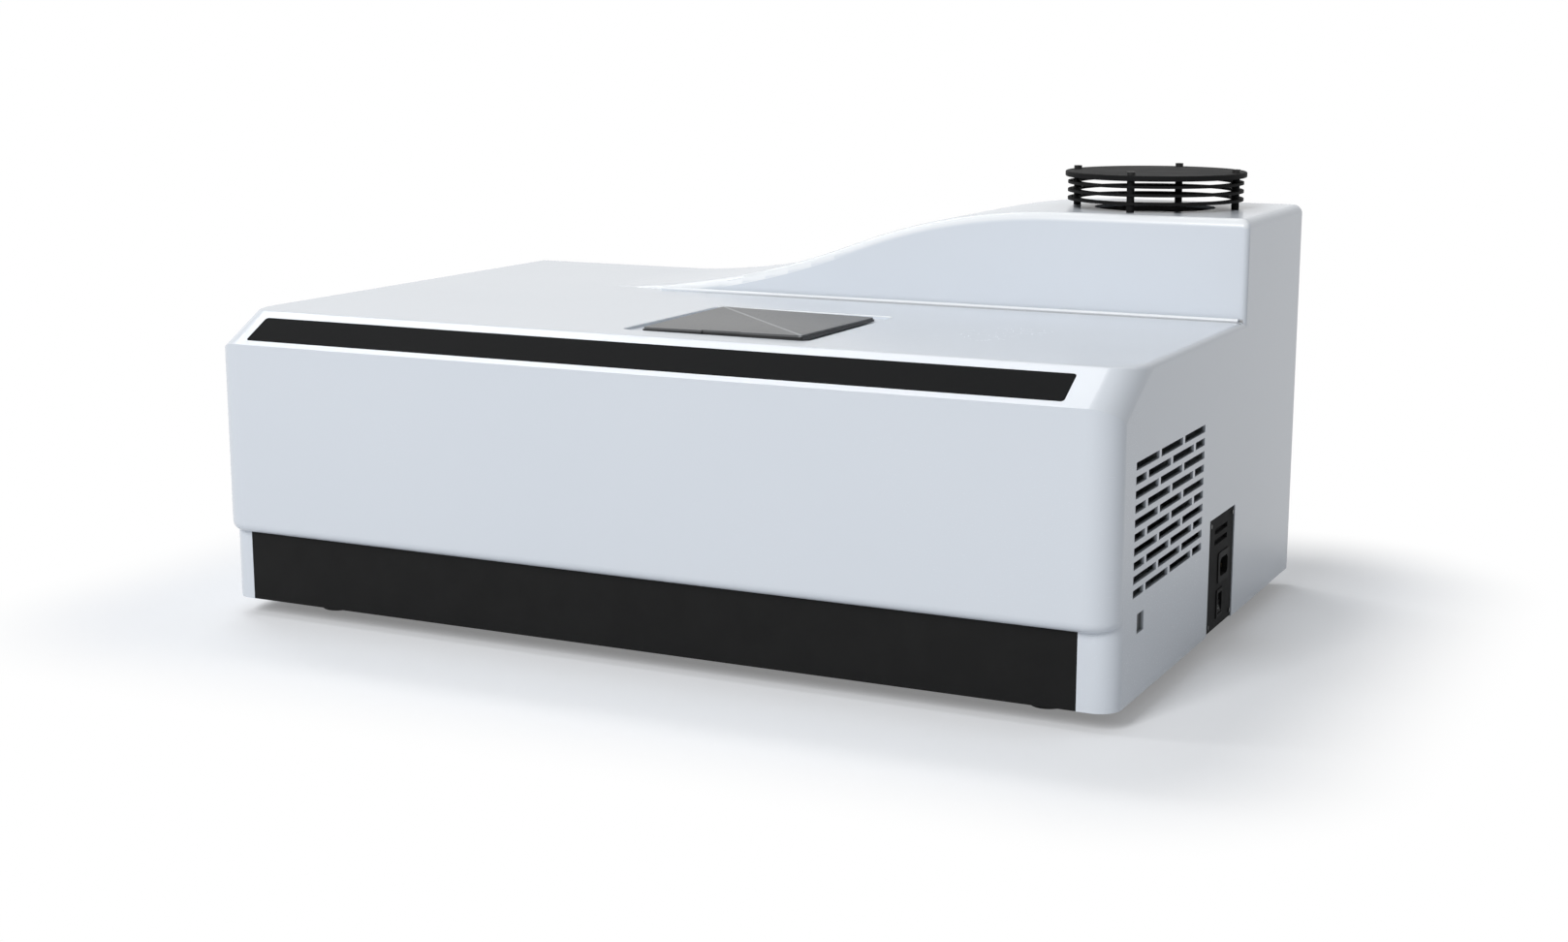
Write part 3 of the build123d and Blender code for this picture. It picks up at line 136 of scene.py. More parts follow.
world = bpy.data.worlds.new("studio")
bpy.context.scene.world = world
world.use_nodes = True
sky = world.node_tree
sky.nodes.clear()
fill = sky.nodes.new("ShaderNodeBackground")
fill.inputs["Color"].default_value = FILL_COLOUR
fill.inputs["Strength"].default_value = FILL_STRENGTH
white = sky.nodes.new("ShaderNodeBackground")
white.inputs["Color"].default_value = (1, 1, 1, 1)
choose = sky.nodes.new("ShaderNodeMixShader")
sky.links.new(backdrop_ray(sky), choose.inputs["Fac"])
link(sky, fill, "Background", choose, 1)
link(sky, white, "Background", choose, 2)
link(sky, choose, "Shader", sky.nodes.new("ShaderNodeOutputWorld"), "Surface")
print("fill strength", FILL_STRENGTH)

# %% Soft lamps
LAMPS = {
    # name: (direction from the instrument, direction of its long side, distance, length, width, watts)
    "key": ((-0.08, -0.83, 0.55), (1.0, -0.10, 0.0), 7.0, 1.8, 3.0, 248.0),
    "overhead": ((-0.455, 0.33, 0.815), (0.346, 0.073, 0.172), 6.0, 3.8, 0.72, 68.0),
    "crown": ((-0.50, -0.22, 0.84), (1.0, 0.10, 0.62), 6.0, 2.8, 0.45, 28.0),
}


def softbox(name, direction, along, distance, length, width, watts):
    """Rectangular lamp far out along a direction, facing the middle of the instrument."""
    data = bpy.data.lights.new(name, "AREA")
    data.shape = "RECTANGLE"
    data.size, data.size_y = length, width
    data.energy = watts
    lamp = bpy.data.objects.new(name, data)
    outward = Vector(direction).normalized()
    across = outward.cross(Vector(along)).normalized()
    turn = Matrix((across.cross(outward), across, outward)).transposed()
    lamp.matrix_world = Matrix.Translation((LOW + HIGH) / 2 + outward * distance) @ turn.to_4x4()
    bpy.context.scene.collection.objects.link(lamp)
    return lamp


for lamp_name, setting in LAMPS.items():
    softbox(lamp_name, *setting)
print("lamps", list(LAMPS))

# %% [markdown]
# ## Floor
#
# The instrument stands on a pale sheet that has no visible end. The sheet could be curved up behind it, as studio
# paper is. Here it stays flat, because the views go all round, and its finish turns into the white of the
# backdrop a hand's width outside the footprint. The shadow that ties the feet to the floor stays.

# %% Floor sheet
FLOOR_HALF = 9.0

floor_mesh = bpy.data.meshes.new("floor")
corners = [(x * FLOOR_HALF, y * FLOOR_HALF) for x, y in ((-1, -1), (1, -1), (1, 1), (-1, 1))]
floor_mesh.from_pydata([(x, y, 0.0) for x, y in corners], [], [(0, 1, 2, 3)])
floor = bpy.data.objects.new("floor", floor_mesh)
bpy.context.scene.collection.objects.link(floor)
print("floor", 2 * FLOOR_HALF, "metres square")

# %% Floor finish near the instrument
FLOOR_LIFT = 0.22
FLOOR_BOUNCE = (0.66, 0.675, 0.70, 1)  # what it throws back at the instrument
FLOOR_SEEN = (0.79, 0.805, 0.83, 1)

floor_finish = bpy.data.materials.new("floor")
floor_finish.use_nodes = True
tree = floor_finish.node_tree
tree.nodes.clear()
seen = backdrop_ray(tree)
matt = tree.nodes.new("ShaderNodeBsdfDiffuse")
tone = tree.nodes.new("ShaderNodeMix")
tone.data_type = "RGBA"
tone.inputs["A"].default_value = FLOOR_BOUNCE
tone.inputs["B"].default_value = FLOOR_SEEN
tree.links.new(seen, tone.inputs["Factor"])
link(tree, tone, "Result", matt, "Color")
glow = tree.nodes.new("ShaderNodeEmission")
lift = tree.nodes.new("ShaderNodeMath")
lift.operation = "MULTIPLY"
lift.inputs[1].default_value = FLOOR_LIFT
tree.links.new(seen, lift.inputs[0])
link(tree, lift, 0, glow, "Strength")
near = tree.nodes.new("ShaderNodeAddShader")
link(tree, matt, 0, near, 0)
link(tree, glow, 0, near, 1)
print("floor lift", FLOOR_LIFT)

# %% Fade of the floor into the backdrop
FADE_START, FADE_END = 0.06, 0.24  # metres outside the footprint

spot = tree.nodes.new("ShaderNodeTexCoord")
reach = spot.outputs["Object"]
outside = (("ABSOLUTE", None), ("SUBTRACT", (HIGH.x, HIGH.y, 0)), ("MAXIMUM", (0, 0, 0)), ("LENGTH", None))
for operation, amount in outside:
    step = tree.nodes.new("ShaderNodeVectorMath")
    step.operation = operation
    if amount:
        step.inputs[1].default_value = amount
    tree.links.new(reach, step.inputs[0])
    reach = step.outputs["Value" if operation == "LENGTH" else "Vector"]
fade = tree.nodes.new("ShaderNodeMapRange")
fade.interpolation_type = "SMOOTHSTEP"
fade.inputs["From Min"].default_value = FADE_START
fade.inputs["From Max"].default_value = FADE_END
tree.links.new(reach, fade.inputs["Value"])
backdrop = tree.nodes.new("ShaderNodeEmission")
share = tree.nodes.new("ShaderNodeMath")
share.operation = "MULTIPLY"
link(tree, fade, "Result", share, 0)
tree.links.new(seen, share.inputs[1])
blend = tree.nodes.new("ShaderNodeMixShader")
link(tree, share, 0, blend, "Fac")
link(tree, near, 0, blend, 1)
link(tree, backdrop, 0, blend, 2)
link(tree, blend, 0, tree.nodes.new("ShaderNodeOutputMaterial"), "Surface")
floor_mesh.materials.append(floor_finish)
print("floor fades from", FADE_START, "to", FADE_END, "metres")

# %% [markdown]
# ## Surface effects
#
# Sprayed paint, moulded plastic and brushed metal each repeat on many pieces. An effect could be built anew in
# every material; as a node group it is built once, and gives heights and masks only. The bump, the shader and
# every constant stay in the material that uses it. All groups read object coordinates, which are metres in the
# shared frame, so a scale of 1000 is a pattern of about a millimetre.

# %% Group builder
def effect_group(name, outputs):
    """Empty shader group with float outputs, its coordinates and its exit node."""
    group = bpy.data.node_groups.new(name, "ShaderNodeTree")
    for output in outputs:
        group.interface.new_socket(name=output, in_out="OUTPUT", socket_type="NodeSocketFloat")
    place = group.nodes.new("ShaderNodeTexCoord")
    leave = group.nodes.new("NodeGroupOutput")
    return group, place.outputs["Object"], leave


def noise(tree, source, scale, detail=2.0, roughness=0.5, stretch=None):
    """Noise value, with the coordinates stretched first when asked."""
    if stretch:
        spread = tree.nodes.new("ShaderNodeMapping")
        spread.inputs["Scale"].default_value = stretch
        tree.links.new(source, spread.inputs["Vector"])
        source = spread.outputs["Vector"]
    texture = tree.nodes.new("ShaderNodeTexNoise")
    texture.inputs["Scale"].default_value = scale
    texture.inputs["Detail"].default_value = detail
    texture.inputs["Roughness"].default_value = roughness
    tree.links.new(source, texture.inputs["Vector"])
    return texture.outputs["Fac"]


print("group and noise helpers ready")


# %% Values mapped and combined
def remap(tree, source, low, high, to_low=0.0, to_high=1.0):
    """Clamped straight-line map of one range to another."""
    spread = tree.nodes.new("ShaderNodeMapRange")
    for socket, value in (("From Min", low), ("From Max", high), ("To Min", to_low), ("To Max", to_high)):
        spread.inputs[socket].default_value = value
    tree.links.new(source, spread.inputs["Value"])
    return spread.outputs["Result"]


def combine(tree, operation, first, second):
    """Math on two values, the second a socket or a number."""
    node = tree.nodes.new("ShaderNodeMath")
    node.operation = operation
    tree.links.new(first, node.inputs[0])
    if isinstance(second, (int, float)):
        node.inputs[1].default_value = second
    else:
        tree.links.new(second, node.inputs[1])
    return node.outputs[0]


print("value helpers ready")

# %% Sprayed paint: orange peel, drift and smudges
PEEL_SCALE, DRIFT_SCALE, SMUDGE_SCALE = 520, 3.5, 26

paint_group, where, leave = effect_group("sprayed_paint", ("Height", "Drift", "Smudge"))
peel = noise(paint_group, where, PEEL_SCALE, 2.0, 0.45)
drift = remap(paint_group, noise(paint_group, where, DRIFT_SCALE, 2.0), 0.35, 0.65)
smudge = remap(paint_group, noise(paint_group, where, SMUDGE_SCALE, 5.0, 0.62), 0.45, 0.72)
for socket, value in (("Height", peel), ("Drift", drift), ("Smudge", smudge)):
    paint_group.links.new(value, leave.inputs[socket])
print("paint heights and masks", [socket.name for socket in leave.inputs if socket.name])

# %% Hairline scratches in three directions
SCRATCH_SETS = ((0.35, 40), (1.25, 55), (2.3, 34))  # turn in radians, scale
SCRATCH_STRETCH = (1.0, 30.0, 30.0)

hairline_group, where, leave = effect_group("hairline_scratches", ("Mask",))
total = None
for turn, scale in SCRATCH_SETS:
    direction = hairline_group.nodes.new("ShaderNodeVectorRotate")
    direction.rotation_type = "Z_AXIS"
    direction.inputs["Angle"].default_value = turn
    hairline_group.links.new(where, direction.inputs["Vector"])
    streak = noise(hairline_group, direction.outputs["Vector"], scale, 1.0, 0.5, SCRATCH_STRETCH)
    line = remap(hairline_group, streak, 0.70, 0.74)
    total = line if total is None else combine(hairline_group, "MAXIMUM", total, line)
hairline_group.links.new(total, leave.inputs["Mask"])
print("scratch directions", len(SCRATCH_SETS))

# %% Moulded grain
GRAIN_SCALE, PATCH_SCALE = 1300, 35

grain_group, where, leave = effect_group("moulded_grain", ("Height", "Patch"))
cells = grain_group.nodes.new("ShaderNodeTexVoronoi")
cells.inputs["Scale"].default_value = GRAIN_SCALE
grain_group.links.new(where, cells.inputs["Vector"])
grain_group.links.new(cells.outputs["Distance"], leave.inputs["Height"])
patch = remap(grain_group, noise(grain_group, where, PATCH_SCALE, 4.0), 0.35, 0.7)
grain_group.links.new(patch, leave.inputs["Patch"])
print("grain pitch about", round(1000 / GRAIN_SCALE, 2), "mm")

# %% Brushed metal
FINE_SCALE, FINE_STRETCH = 45, (1.0, 26.0, 26.0)
BROAD_SCALE, BROAD_STRETCH = 14, (1.0, 9.0, 9.0)

brushed_group, where, leave = effect_group("brushed_lines", ("Height", "Streak"))
fine = noise(brushed_group, where, FINE_SCALE, 3.0, 0.7, FINE_STRETCH)
broad = remap(brushed_group, noise(brushed_group, where, BROAD_SCALE, 2.0, 0.5, BROAD_STRETCH), 0.35, 0.65)
brushed_group.links.new(fine, leave.inputs["Height"])
brushed_group.links.new(broad, leave.inputs["Streak"])
print("surface groups", [group.name for group in bpy.data.node_groups])

# %% [markdown]
# ## Finishes
#
# A finish is a base colour, a gloss and a relief. One function builds them all: a Principled shader with its
# constants on its own sockets, a colour and a roughness that drift between two values by a mask, and a bump from
# a height. Two more lay a second colour or a second relief over a finish, where a group's mask says so.

# %% Finish builder
def finish(name, dark, light=None, rough=(0.4, 0.4), metallic=0.0, group=None, mask=None, height=None,
           bump=0.0, bump_depth=0.0001, marks=0.0, **constants):
    """Material whose colour, roughness and bump follow the outputs of one effect group."""
    material = bpy.data.materials.new(name)
    material.use_nodes = True
    tree = material.node_tree
    shader = tree.nodes["Principled BSDF"]
    shader.inputs["Base Color"].default_value = (*dark, 1)
    shader.inputs["Roughness"].default_value = rough[0]
    shader.inputs["Metallic"].default_value = metallic
    for socket, value in constants.items():
        shader.inputs[socket.replace("_", " ")].default_value = value
    if group is None:
        return material
    effect = tree.nodes.new("ShaderNodeGroup")
    effect.node_tree = group
    if mask and light:
        ramp = tree.nodes.new("ShaderNodeMix")
        ramp.data_type = "RGBA"
        ramp.inputs["A"].default_value = (*dark, 1)
        ramp.inputs["B"].default_value = (*light, 1)
        tree.links.new(effect.outputs[mask], ramp.inputs["Factor"])
        tree.links.new(ramp.outputs["Result"], shader.inputs["Base Color"])
    if rough[0] != rough[1]:
        gloss = remap(tree, effect.outputs[mask], 0, 1, *rough)
        if marks:
            scratched = tree.nodes.new("ShaderNodeGroup")
            scratched.node_tree = hairline_group
            added = combine(tree, "MULTIPLY", scratched.outputs["Mask"], marks)
            gloss = combine(tree, "ADD", gloss, added)
        tree.links.new(gloss, shader.inputs["Roughness"])
    if height:
        relief = tree.nodes.new("ShaderNodeBump")
        relief.inputs["Strength"].default_value = bump
        relief.inputs["Distance"].default_value = bump_depth
        tree.links.new(effect.outputs[height], relief.inputs["Height"])
        tree.links.new(relief.outputs["Normal"], shader.inputs["Normal"])
    return material


print("finish builder ready")


# %% Second colour, second relief, and dressing
def overlay(material, group, output, colour):
    """Lay a second colour over a finish where a group's mask says so."""
    tree = material.node_tree
    base = tree.nodes["Principled BSDF"].inputs["Base Color"]
    effect = tree.nodes.new("ShaderNodeGroup")
    effect.node_tree = group
    over = tree.nodes.new("ShaderNodeMix")
    over.data_type = "RGBA"
    over.inputs["B"].default_value = (*colour, 1)
    tree.links.new(base.links[0].from_socket, over.inputs["A"])
    tree.links.new(effect.outputs[output], over.inputs["Factor"])
    tree.links.new(over.outputs["Result"], base)


def emboss(material, group, output, depth):
    """Add a group's height to the relief that a finish already has."""
    tree = material.node_tree
    normal = tree.nodes["Principled BSDF"].inputs["Normal"]
    effect = tree.nodes.new("ShaderNodeGroup")
    effect.node_tree = group
    relief = tree.nodes.new("ShaderNodeBump")
    relief.inputs["Distance"].default_value = depth
    tree.links.new(normal.links[0].from_socket, relief.inputs["Normal"])
    tree.links.new(effect.outputs[output], relief.inputs["Height"])
    tree.links.new(relief.outputs["Normal"], normal)


def dress(material, *nodes):
    """Give CAD nodes one finish."""
    for node in nodes:
        mesh = frame["nodes"][node].data
        mesh.materials.clear()
        mesh.materials.append(material)


print("overlay, emboss and dress ready")

# %% [markdown]
# ## Painted cover
#
# The cover is moulded and sprayed in a cool white with a soft gloss. A plain Principled shader would give the
# colour, but not what the eye checks for: a faint orange peel in the reflections, painted shade on the walls inside
# the side openings, a line of painted shade beside the bead, and a painted highlight that makes the rounded crown
# and rims paler than the flats. Each of these is a mask by place or by direction, laid over the same paint.

# %% Cover paint
cover_paint = finish(
    "cover_paint", (0.752, 0.796, 0.855), (0.762, 0.805, 0.862), rough=(0.22, 0.26), group=paint_group,
    mask="Drift", height="Height", bump=0.05, bump_depth=0.00002, marks=0.02, Specular_IOR_Level=0.44,
)
dress(cover_paint, "main_cover")
print(cover_paint.name, "on main_cover")

# %% Painted shade inside the side openings
OPENING_SHADE_FROM, OPENING_SHADE_TO, OPENING_SHADE_END = 0.0002, 0.0028, 0.0080  # metres below the side's face
OPENING_SHADE_BEHIND_FRONT, OPENING_SHADE_BEFORE_REAR, OPENING_SHADE_TOP = 0.030, 0.010, 0.220  # clear of the rounded edges
OPENING_SHADE_STEP = 0.001  # width of a mask's edge
# The colour of the painted shade on the walls inside the side openings.
OPENING_SHADE_COLOUR = (0.15, 0.16, 0.16)

side_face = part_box("main_cover")[1][0]
opening_shade_group, where, leave = effect_group("side_opening_painted_shade", ("Mask",))
axes = opening_shade_group.nodes.new("ShaderNodeSeparateXYZ")
opening_shade_group.links.new(where, axes.inputs["Vector"])
below = remap(opening_shade_group, axes.outputs["X"], side_face - OPENING_SHADE_FROM, side_face - OPENING_SHADE_TO)
in_wall = remap(opening_shade_group, axes.outputs["X"], side_face - OPENING_SHADE_END, side_face - OPENING_SHADE_END + OPENING_SHADE_STEP / 2)
front_limit, rear_limit = LOW.y + OPENING_SHADE_BEHIND_FRONT, HIGH.y - OPENING_SHADE_BEFORE_REAR
behind_corner = remap(opening_shade_group, axes.outputs["Y"], front_limit, front_limit + OPENING_SHADE_STEP)
before_rear = remap(opening_shade_group, axes.outputs["Y"], rear_limit, rear_limit - OPENING_SHADE_STEP)
under_deck = remap(opening_shade_group, axes.outputs["Z"], OPENING_SHADE_TOP + OPENING_SHADE_STEP, OPENING_SHADE_TOP)
for limit in (in_wall, behind_corner, before_rear, under_deck):
    below = combine(opening_shade_group, "MULTIPLY", below, limit)
opening_shade_group.links.new(below, leave.inputs["Mask"])
# Painted shade: the walls inside the side openings are darkened in the colour, where shade falls.
overlay(cover_paint, opening_shade_group, "Mask", OPENING_SHADE_COLOUR)
print("openings shaded below", round(side_face, 4))

# %% Shade along the bead at the tower's foot
DECK_LEVEL = 0.264
TOWER_WALL = 0.075  # where the tower's front wall stands, along Y
BEAD_START = -0.149
WALL_GAP = (0.0012, 0.0024)  # before the wall: full shade, then none
BEHIND_WALL = (-0.0010, -0.0004)  # behind the wall's face: no shade, then full
BEAD_FOOT = (0.0064, 0.0072, 0.0112)  # before the wall: no shade, full shade, none again
SHADE_GROWS = 0.120  # along the bead, from none to full
SHADE_LOW, SHADE_HIGH = (-0.0015, -0.0010), (0.0028, 0.0006)  # about the deck's level
SHADE_STRENGTH = 0.85
SHADE_COLOUR = (0.34, 0.33, 0.32)

foot_group, where, leave = effect_group("bead_shade", ("Mask",))
axes = foot_group.nodes.new("ShaderNodeSeparateXYZ")
foot_group.links.new(where, axes.inputs["Vector"])
ahead = combine(foot_group, "SUBTRACT", combine(foot_group, "MULTIPLY", axes.outputs["Y"], -1.0), -TOWER_WALL)
in_gap = remap(foot_group, ahead, *reversed(WALL_GAP))
before = combine(foot_group, "MULTIPLY", remap(foot_group, ahead, BEAD_FOOT[0], BEAD_FOOT[1]),
                 remap(foot_group, ahead, BEAD_FOOT[2], BEAD_FOOT[1]))
shade = combine(foot_group, "MAXIMUM", in_gap, before)
limits = [("X", BEAD_START, BEAD_START + SHADE_GROWS)]
limits += [("Z", DECK_LEVEL + low, DECK_LEVEL + high) for low, high in (SHADE_LOW, SHADE_HIGH)]
for output, low, high in limits:
    shade = combine(foot_group, "MULTIPLY", shade, remap(foot_group, axes.outputs[output], low, high))
shade = combine(foot_group, "MULTIPLY", shade, remap(foot_group, ahead, *BEHIND_WALL))
foot_group.links.new(combine(foot_group, "MULTIPLY", shade, SHADE_STRENGTH), leave.inputs["Mask"])
overlay(cover_paint, foot_group, "Mask", SHADE_COLOUR)
print("bead shaded from", BEAD_START)

# %% Painted highlight on the crown of the tower and rims
BAND_END, BAND_STEP = 0.080, 0.001  # from the front face to clear of the sloping band
HIGHLIGHT_LEAN_FROM, HIGHLIGHT_LEAN_TO = 0.08, 0.34  # how far a surface leans both forward and up
# The colour of the painted highlight on the rounded crown and rims.
CROWN_HIGHLIGHT_COLOUR = (0.93, 0.955, 0.98)

crown_highlight_group, where, leave = effect_group("painted_crown_highlight", ("Mask",))
facing = crown_highlight_group.nodes.new("ShaderNodeTexCoord")
lean = crown_highlight_group.nodes.new("ShaderNodeSeparateXYZ")
crown_highlight_group.links.new(facing.outputs["Normal"], lean.inputs["Vector"])
axes = crown_highlight_group.nodes.new("ShaderNodeSeparateXYZ")
crown_highlight_group.links.new(where, axes.inputs["Vector"])
ahead = combine(crown_highlight_group, "MULTIPLY", lean.outputs["Y"], -1.0)
turned = combine(crown_highlight_group, "MULTIPLY", ahead, lean.outputs["Z"])
round_edge = remap(crown_highlight_group, turned, HIGHLIGHT_LEAN_FROM, HIGHLIGHT_LEAN_TO)
past_band = remap(crown_highlight_group, axes.outputs["Y"], LOW.y + BAND_END, LOW.y + BAND_END + BAND_STEP)
crown_highlight_group.links.new(combine(crown_highlight_group, "MULTIPLY", round_edge, past_band), leave.inputs["Mask"])
# Painted highlight: surfaces that lean both forward and up, behind the sloping band, are made paler in the colour.
overlay(cover_paint, crown_highlight_group, "Mask", CROWN_HIGHLIGHT_COLOUR)
print("crown highlight painted behind", round(LOW.y + BAND_END, 3))

# %% [markdown]
# ## Trim, sheet metal and plastics
#
# The strip and the kick panel are black sheet let into the cover, the strip satin and the panel a little glossier.
# Folded steel is powder coated, screws are blackened, and moulded parts have a fine grain. A black part is never
# pure black: its colour stays just above it, and a low specular level keeps the white studio out of it.

# %% Black trim
strip_acrylic = finish(
    "strip_acrylic", (0.011, 0.0115, 0.0120), (0.014, 0.0145, 0.0150), rough=(0.62, 0.70), group=paint_group,
    mask="Smudge", marks=0.10, Specular_IOR_Level=0.03,
)
kick_acrylic = finish(
    "kick_acrylic", (0.011, 0.011, 0.011), (0.013, 0.013, 0.013), rough=(0.35, 0.38), group=grain_group,
    mask="Patch", height="Height", bump=0.10, bump_depth=0.00002, marks=0.08, Specular_IOR_Level=0.10,
)
dress(strip_acrylic, "front_strip")
dress(kick_acrylic, "kick_panel")
print("trim", strip_acrylic.name, kick_acrylic.name)

# %% Coated sheet
tray_coat = finish(
    "tray_powder_coat", (0.020, 0.020, 0.021), (0.030, 0.030, 0.032), rough=(0.50, 0.62), group=grain_group,
    mask="Patch", height="Height", bump=0.35, bump_depth=0.00008,
)
rear_paint = finish(
    "rear_panel_paint", (0.34, 0.36, 0.39), (0.38, 0.40, 0.43), rough=(0.42, 0.52), group=grain_group,
    mask="Patch", height="Height", bump=0.25, bump_depth=0.00006,
)
dress(tray_coat, "base_tray")
dress(rear_paint, "rear_panel")
print("coated sheet on the tray and the rear panel")

# %% Screws, steel and aluminium
blackened = finish(
    "blackened_steel", (0.014, 0.014, 0.014), (0.030, 0.030, 0.030), rough=(0.32, 0.46), metallic=0.6,
    group=brushed_group, mask="Streak", height="Height", bump=0.12, bump_depth=0.00003,
)
plain_steel = finish(
    "plain_steel", (0.46, 0.47, 0.48), (0.58, 0.59, 0.60), rough=(0.26, 0.40), metallic=1.0,
    group=brushed_group, mask="Streak", height="Height", bump=0.15, bump_depth=0.00003,
)
milled = finish(
    "milled_aluminium", (0.58, 0.59, 0.60), (0.68, 0.69, 0.70), rough=(0.28, 0.42), metallic=1.0,
    group=brushed_group, mask="Streak", height="Height", bump=0.20, bump_depth=0.00004,
)
anodised = finish(
    "black_anodising", (0.012, 0.012, 0.013), (0.022, 0.022, 0.024), rough=(0.40, 0.52), metallic=0.5,
    group=grain_group, mask="Patch", height="Height", bump=0.20, bump_depth=0.00004,
)
dress(blackened, "panel_screws", "io_screws", "cap_screws")
dress(plain_steel, "foot_screws", "bench_standoffs", "hinge_brackets", "hinge_pins", "slit_plates",
      "excitation_turntable", "emission_turntable")
dress(milled, "optical_bench", "lamp_housing", "mirror_feet", "filter_wheel", "power_supply")
dress(anodised, "sample_chamber", "cuvette_holder", "excitation_housing", "emission_housing", "pmt_housing",
      "beam_tubes")
print("metal finishes", [metal.name for metal in (blackened, plain_steel, milled, anodised)])

# %% Rubber, panel and connectors
rubber = finish(
    "foot_rubber", (0.012, 0.012, 0.012), (0.022, 0.022, 0.022), rough=(0.62, 0.78), group=grain_group,
    mask="Patch", height="Height", bump=0.5, bump_depth=0.0001,
)
panel_plastic = finish(
    "panel_plastic", (0.020, 0.020, 0.020), (0.024, 0.024, 0.024), rough=(0.60, 0.70), group=grain_group,
    mask="Patch", height="Height", bump=0.25, bump_depth=0.00004, Specular_IOR_Level=0.03,
)
connector_plastic = finish(
    "connector_plastic", (0.009, 0.009, 0.009), (0.013, 0.013, 0.013), rough=(0.52, 0.62), group=grain_group,
    mask="Patch", height="Height", bump=0.30, bump_depth=0.00005, Specular_IOR_Level=0.05,
)
port_grey = finish(
    "port_grey", (0.10, 0.105, 0.11), (0.14, 0.145, 0.15), rough=(0.45, 0.55), group=grain_group,
    mask="Patch", height="Height", bump=0.35, bump_depth=0.00006,
)
dress(rubber, "feet", "lid_seal")
dress(panel_plastic, "io_panel")
dress(connector_plastic, "data_ports", "power_inlet", "switch_body", "switch_rocker", "pmt_base")
dress(port_grey, "side_port_insert")
print("finishes so far", len(bpy.data.materials))

# %% Lid, fan and exhaust stack
lid_gloss = finish(
    "lid_gloss", (0.158, 0.160, 0.163), (0.166, 0.168, 0.171), rough=(0.34, 0.40), group=paint_group,
    mask="Drift", height="Height", bump=0.05, bump_depth=0.00002, marks=0.08, Specular_IOR_Level=0.12,
)
lid_underside = finish(
    "lid_underside", (0.012, 0.012, 0.012), (0.020, 0.020, 0.020), rough=(0.40, 0.52), group=grain_group,
    mask="Patch", height="Height", bump=0.40, bump_depth=0.00006,
)
fan_plastic = finish(
    "fan_plastic", (0.012, 0.012, 0.012), (0.020, 0.020, 0.020), rough=(0.38, 0.50), group=grain_group,
    mask="Patch", height="Height", bump=0.25, bump_depth=0.00005,
)
exhaust_paint = finish(
    "exhaust_paint", (0.010, 0.010, 0.0105), (0.015, 0.015, 0.015), rough=(0.60, 0.70), group=grain_group,
    mask="Patch", height="Height", bump=0.30, bump_depth=0.00005, marks=0.06, Specular_IOR_Level=0.06,
)
dress(lid_gloss, "lid_skin")
dress(lid_underside, "lid_frame")
dress(fan_plastic, "fan_frame", "fan_rotor")
dress(exhaust_paint, "exhaust_posts", "exhaust_ring_1", "exhaust_ring_2", "exhaust_ring_3", "exhaust_cap")
print("finishes so far", len(bpy.data.materials))

# %% [markdown]
# ## Folded crease of the lid
#
# The lid's skin is pressed with one straight crease from corner to corner. It could be a ridge in the solid, but it
# stands less than a millimetre high. So it is a relief in the finish with a painted highlight, a paler line along
# its crest, and the distance from the diagonal gives both.

# %% Crease from corner to corner
CREASE_HALF = 0.0026
CREASE_RISE = 0.0006
CREASE_SHARP = 1.5  # above 1 the ridge narrows towards its crest
# The colour of the painted highlight along the crease's crest.
CREASE_HIGHLIGHT_COLOUR = (0.48, 0.49, 0.50)

lid_low, lid_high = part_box("lid_skin")
width, depth = lid_high[0] - lid_low[0], lid_high[1] - lid_low[1]
span = (width ** 2 + depth ** 2) ** 0.5
crease_group, where, leave = effect_group("lid_crease", ("Ridge",))
from_corner = crease_group.nodes.new("ShaderNodeVectorMath")
from_corner.operation = "SUBTRACT"
from_corner.inputs[1].default_value = (lid_low[0], lid_high[1], 0)
crease_group.links.new(where, from_corner.inputs[0])
across = crease_group.nodes.new("ShaderNodeVectorMath")
across.operation = "DOT_PRODUCT"
across.inputs[1].default_value = (depth / span, width / span, 0)
crease_group.links.new(from_corner.outputs["Vector"], across.inputs[0])
away = combine(crease_group, "ABSOLUTE", across.outputs["Value"], 0.0)
ridge = remap(crease_group, away, CREASE_HALF, 0.0)
crease_group.links.new(combine(crease_group, "POWER", ridge, CREASE_SHARP), leave.inputs["Ridge"])
# Painted highlight: a paler line along the crease's crest, laid over the lid's colour.
overlay(lid_gloss, crease_group, "Ridge", CREASE_HIGHLIGHT_COLOUR)
emboss(lid_gloss, crease_group, "Ridge", CREASE_RISE)
print("crease", round(span, 3), "m long")

# %% [markdown]
# ## Lenses and mirrors
#
# The pieces inside the closed cabinet show through the open lid and the vents. Lenses and the lamp's bulb are
# clear, with a trace of dust in their gloss. The mirrors are coated on their front, so they need no glass over
# them: their finish is a bright metal.

# %% Glass and coatings
def clear_glass(name, tint, rough, index):
    """Clear glass with a trace of dust in its roughness."""
    return finish(name, tint, rough=rough, group=paint_group, mask="Smudge", IOR=index,
                  Transmission_Weight=1.0)


lens_glass = clear_glass("lens_glass", (0.95, 0.98, 0.97), (0.0, 0.05), 1.52)
bulb_quartz = clear_glass("bulb_quartz", (0.97, 0.97, 0.99), (0.02, 0.10), 1.46)
mirror_coating = finish(
    "mirror_coating", (0.80, 0.81, 0.83), (0.86, 0.87, 0.88), rough=(0.03, 0.10), metallic=1.0,
    group=paint_group, mask="Smudge",
)
dress(lens_glass, "beam_lenses", "pmt_tube")
dress(bulb_quartz, "arc_lamp")
dress(mirror_coating, "lamp_reflector", "fold_mirrors")
print("optical finishes", lens_glass.name, bulb_quartz.name, mirror_coating.name)

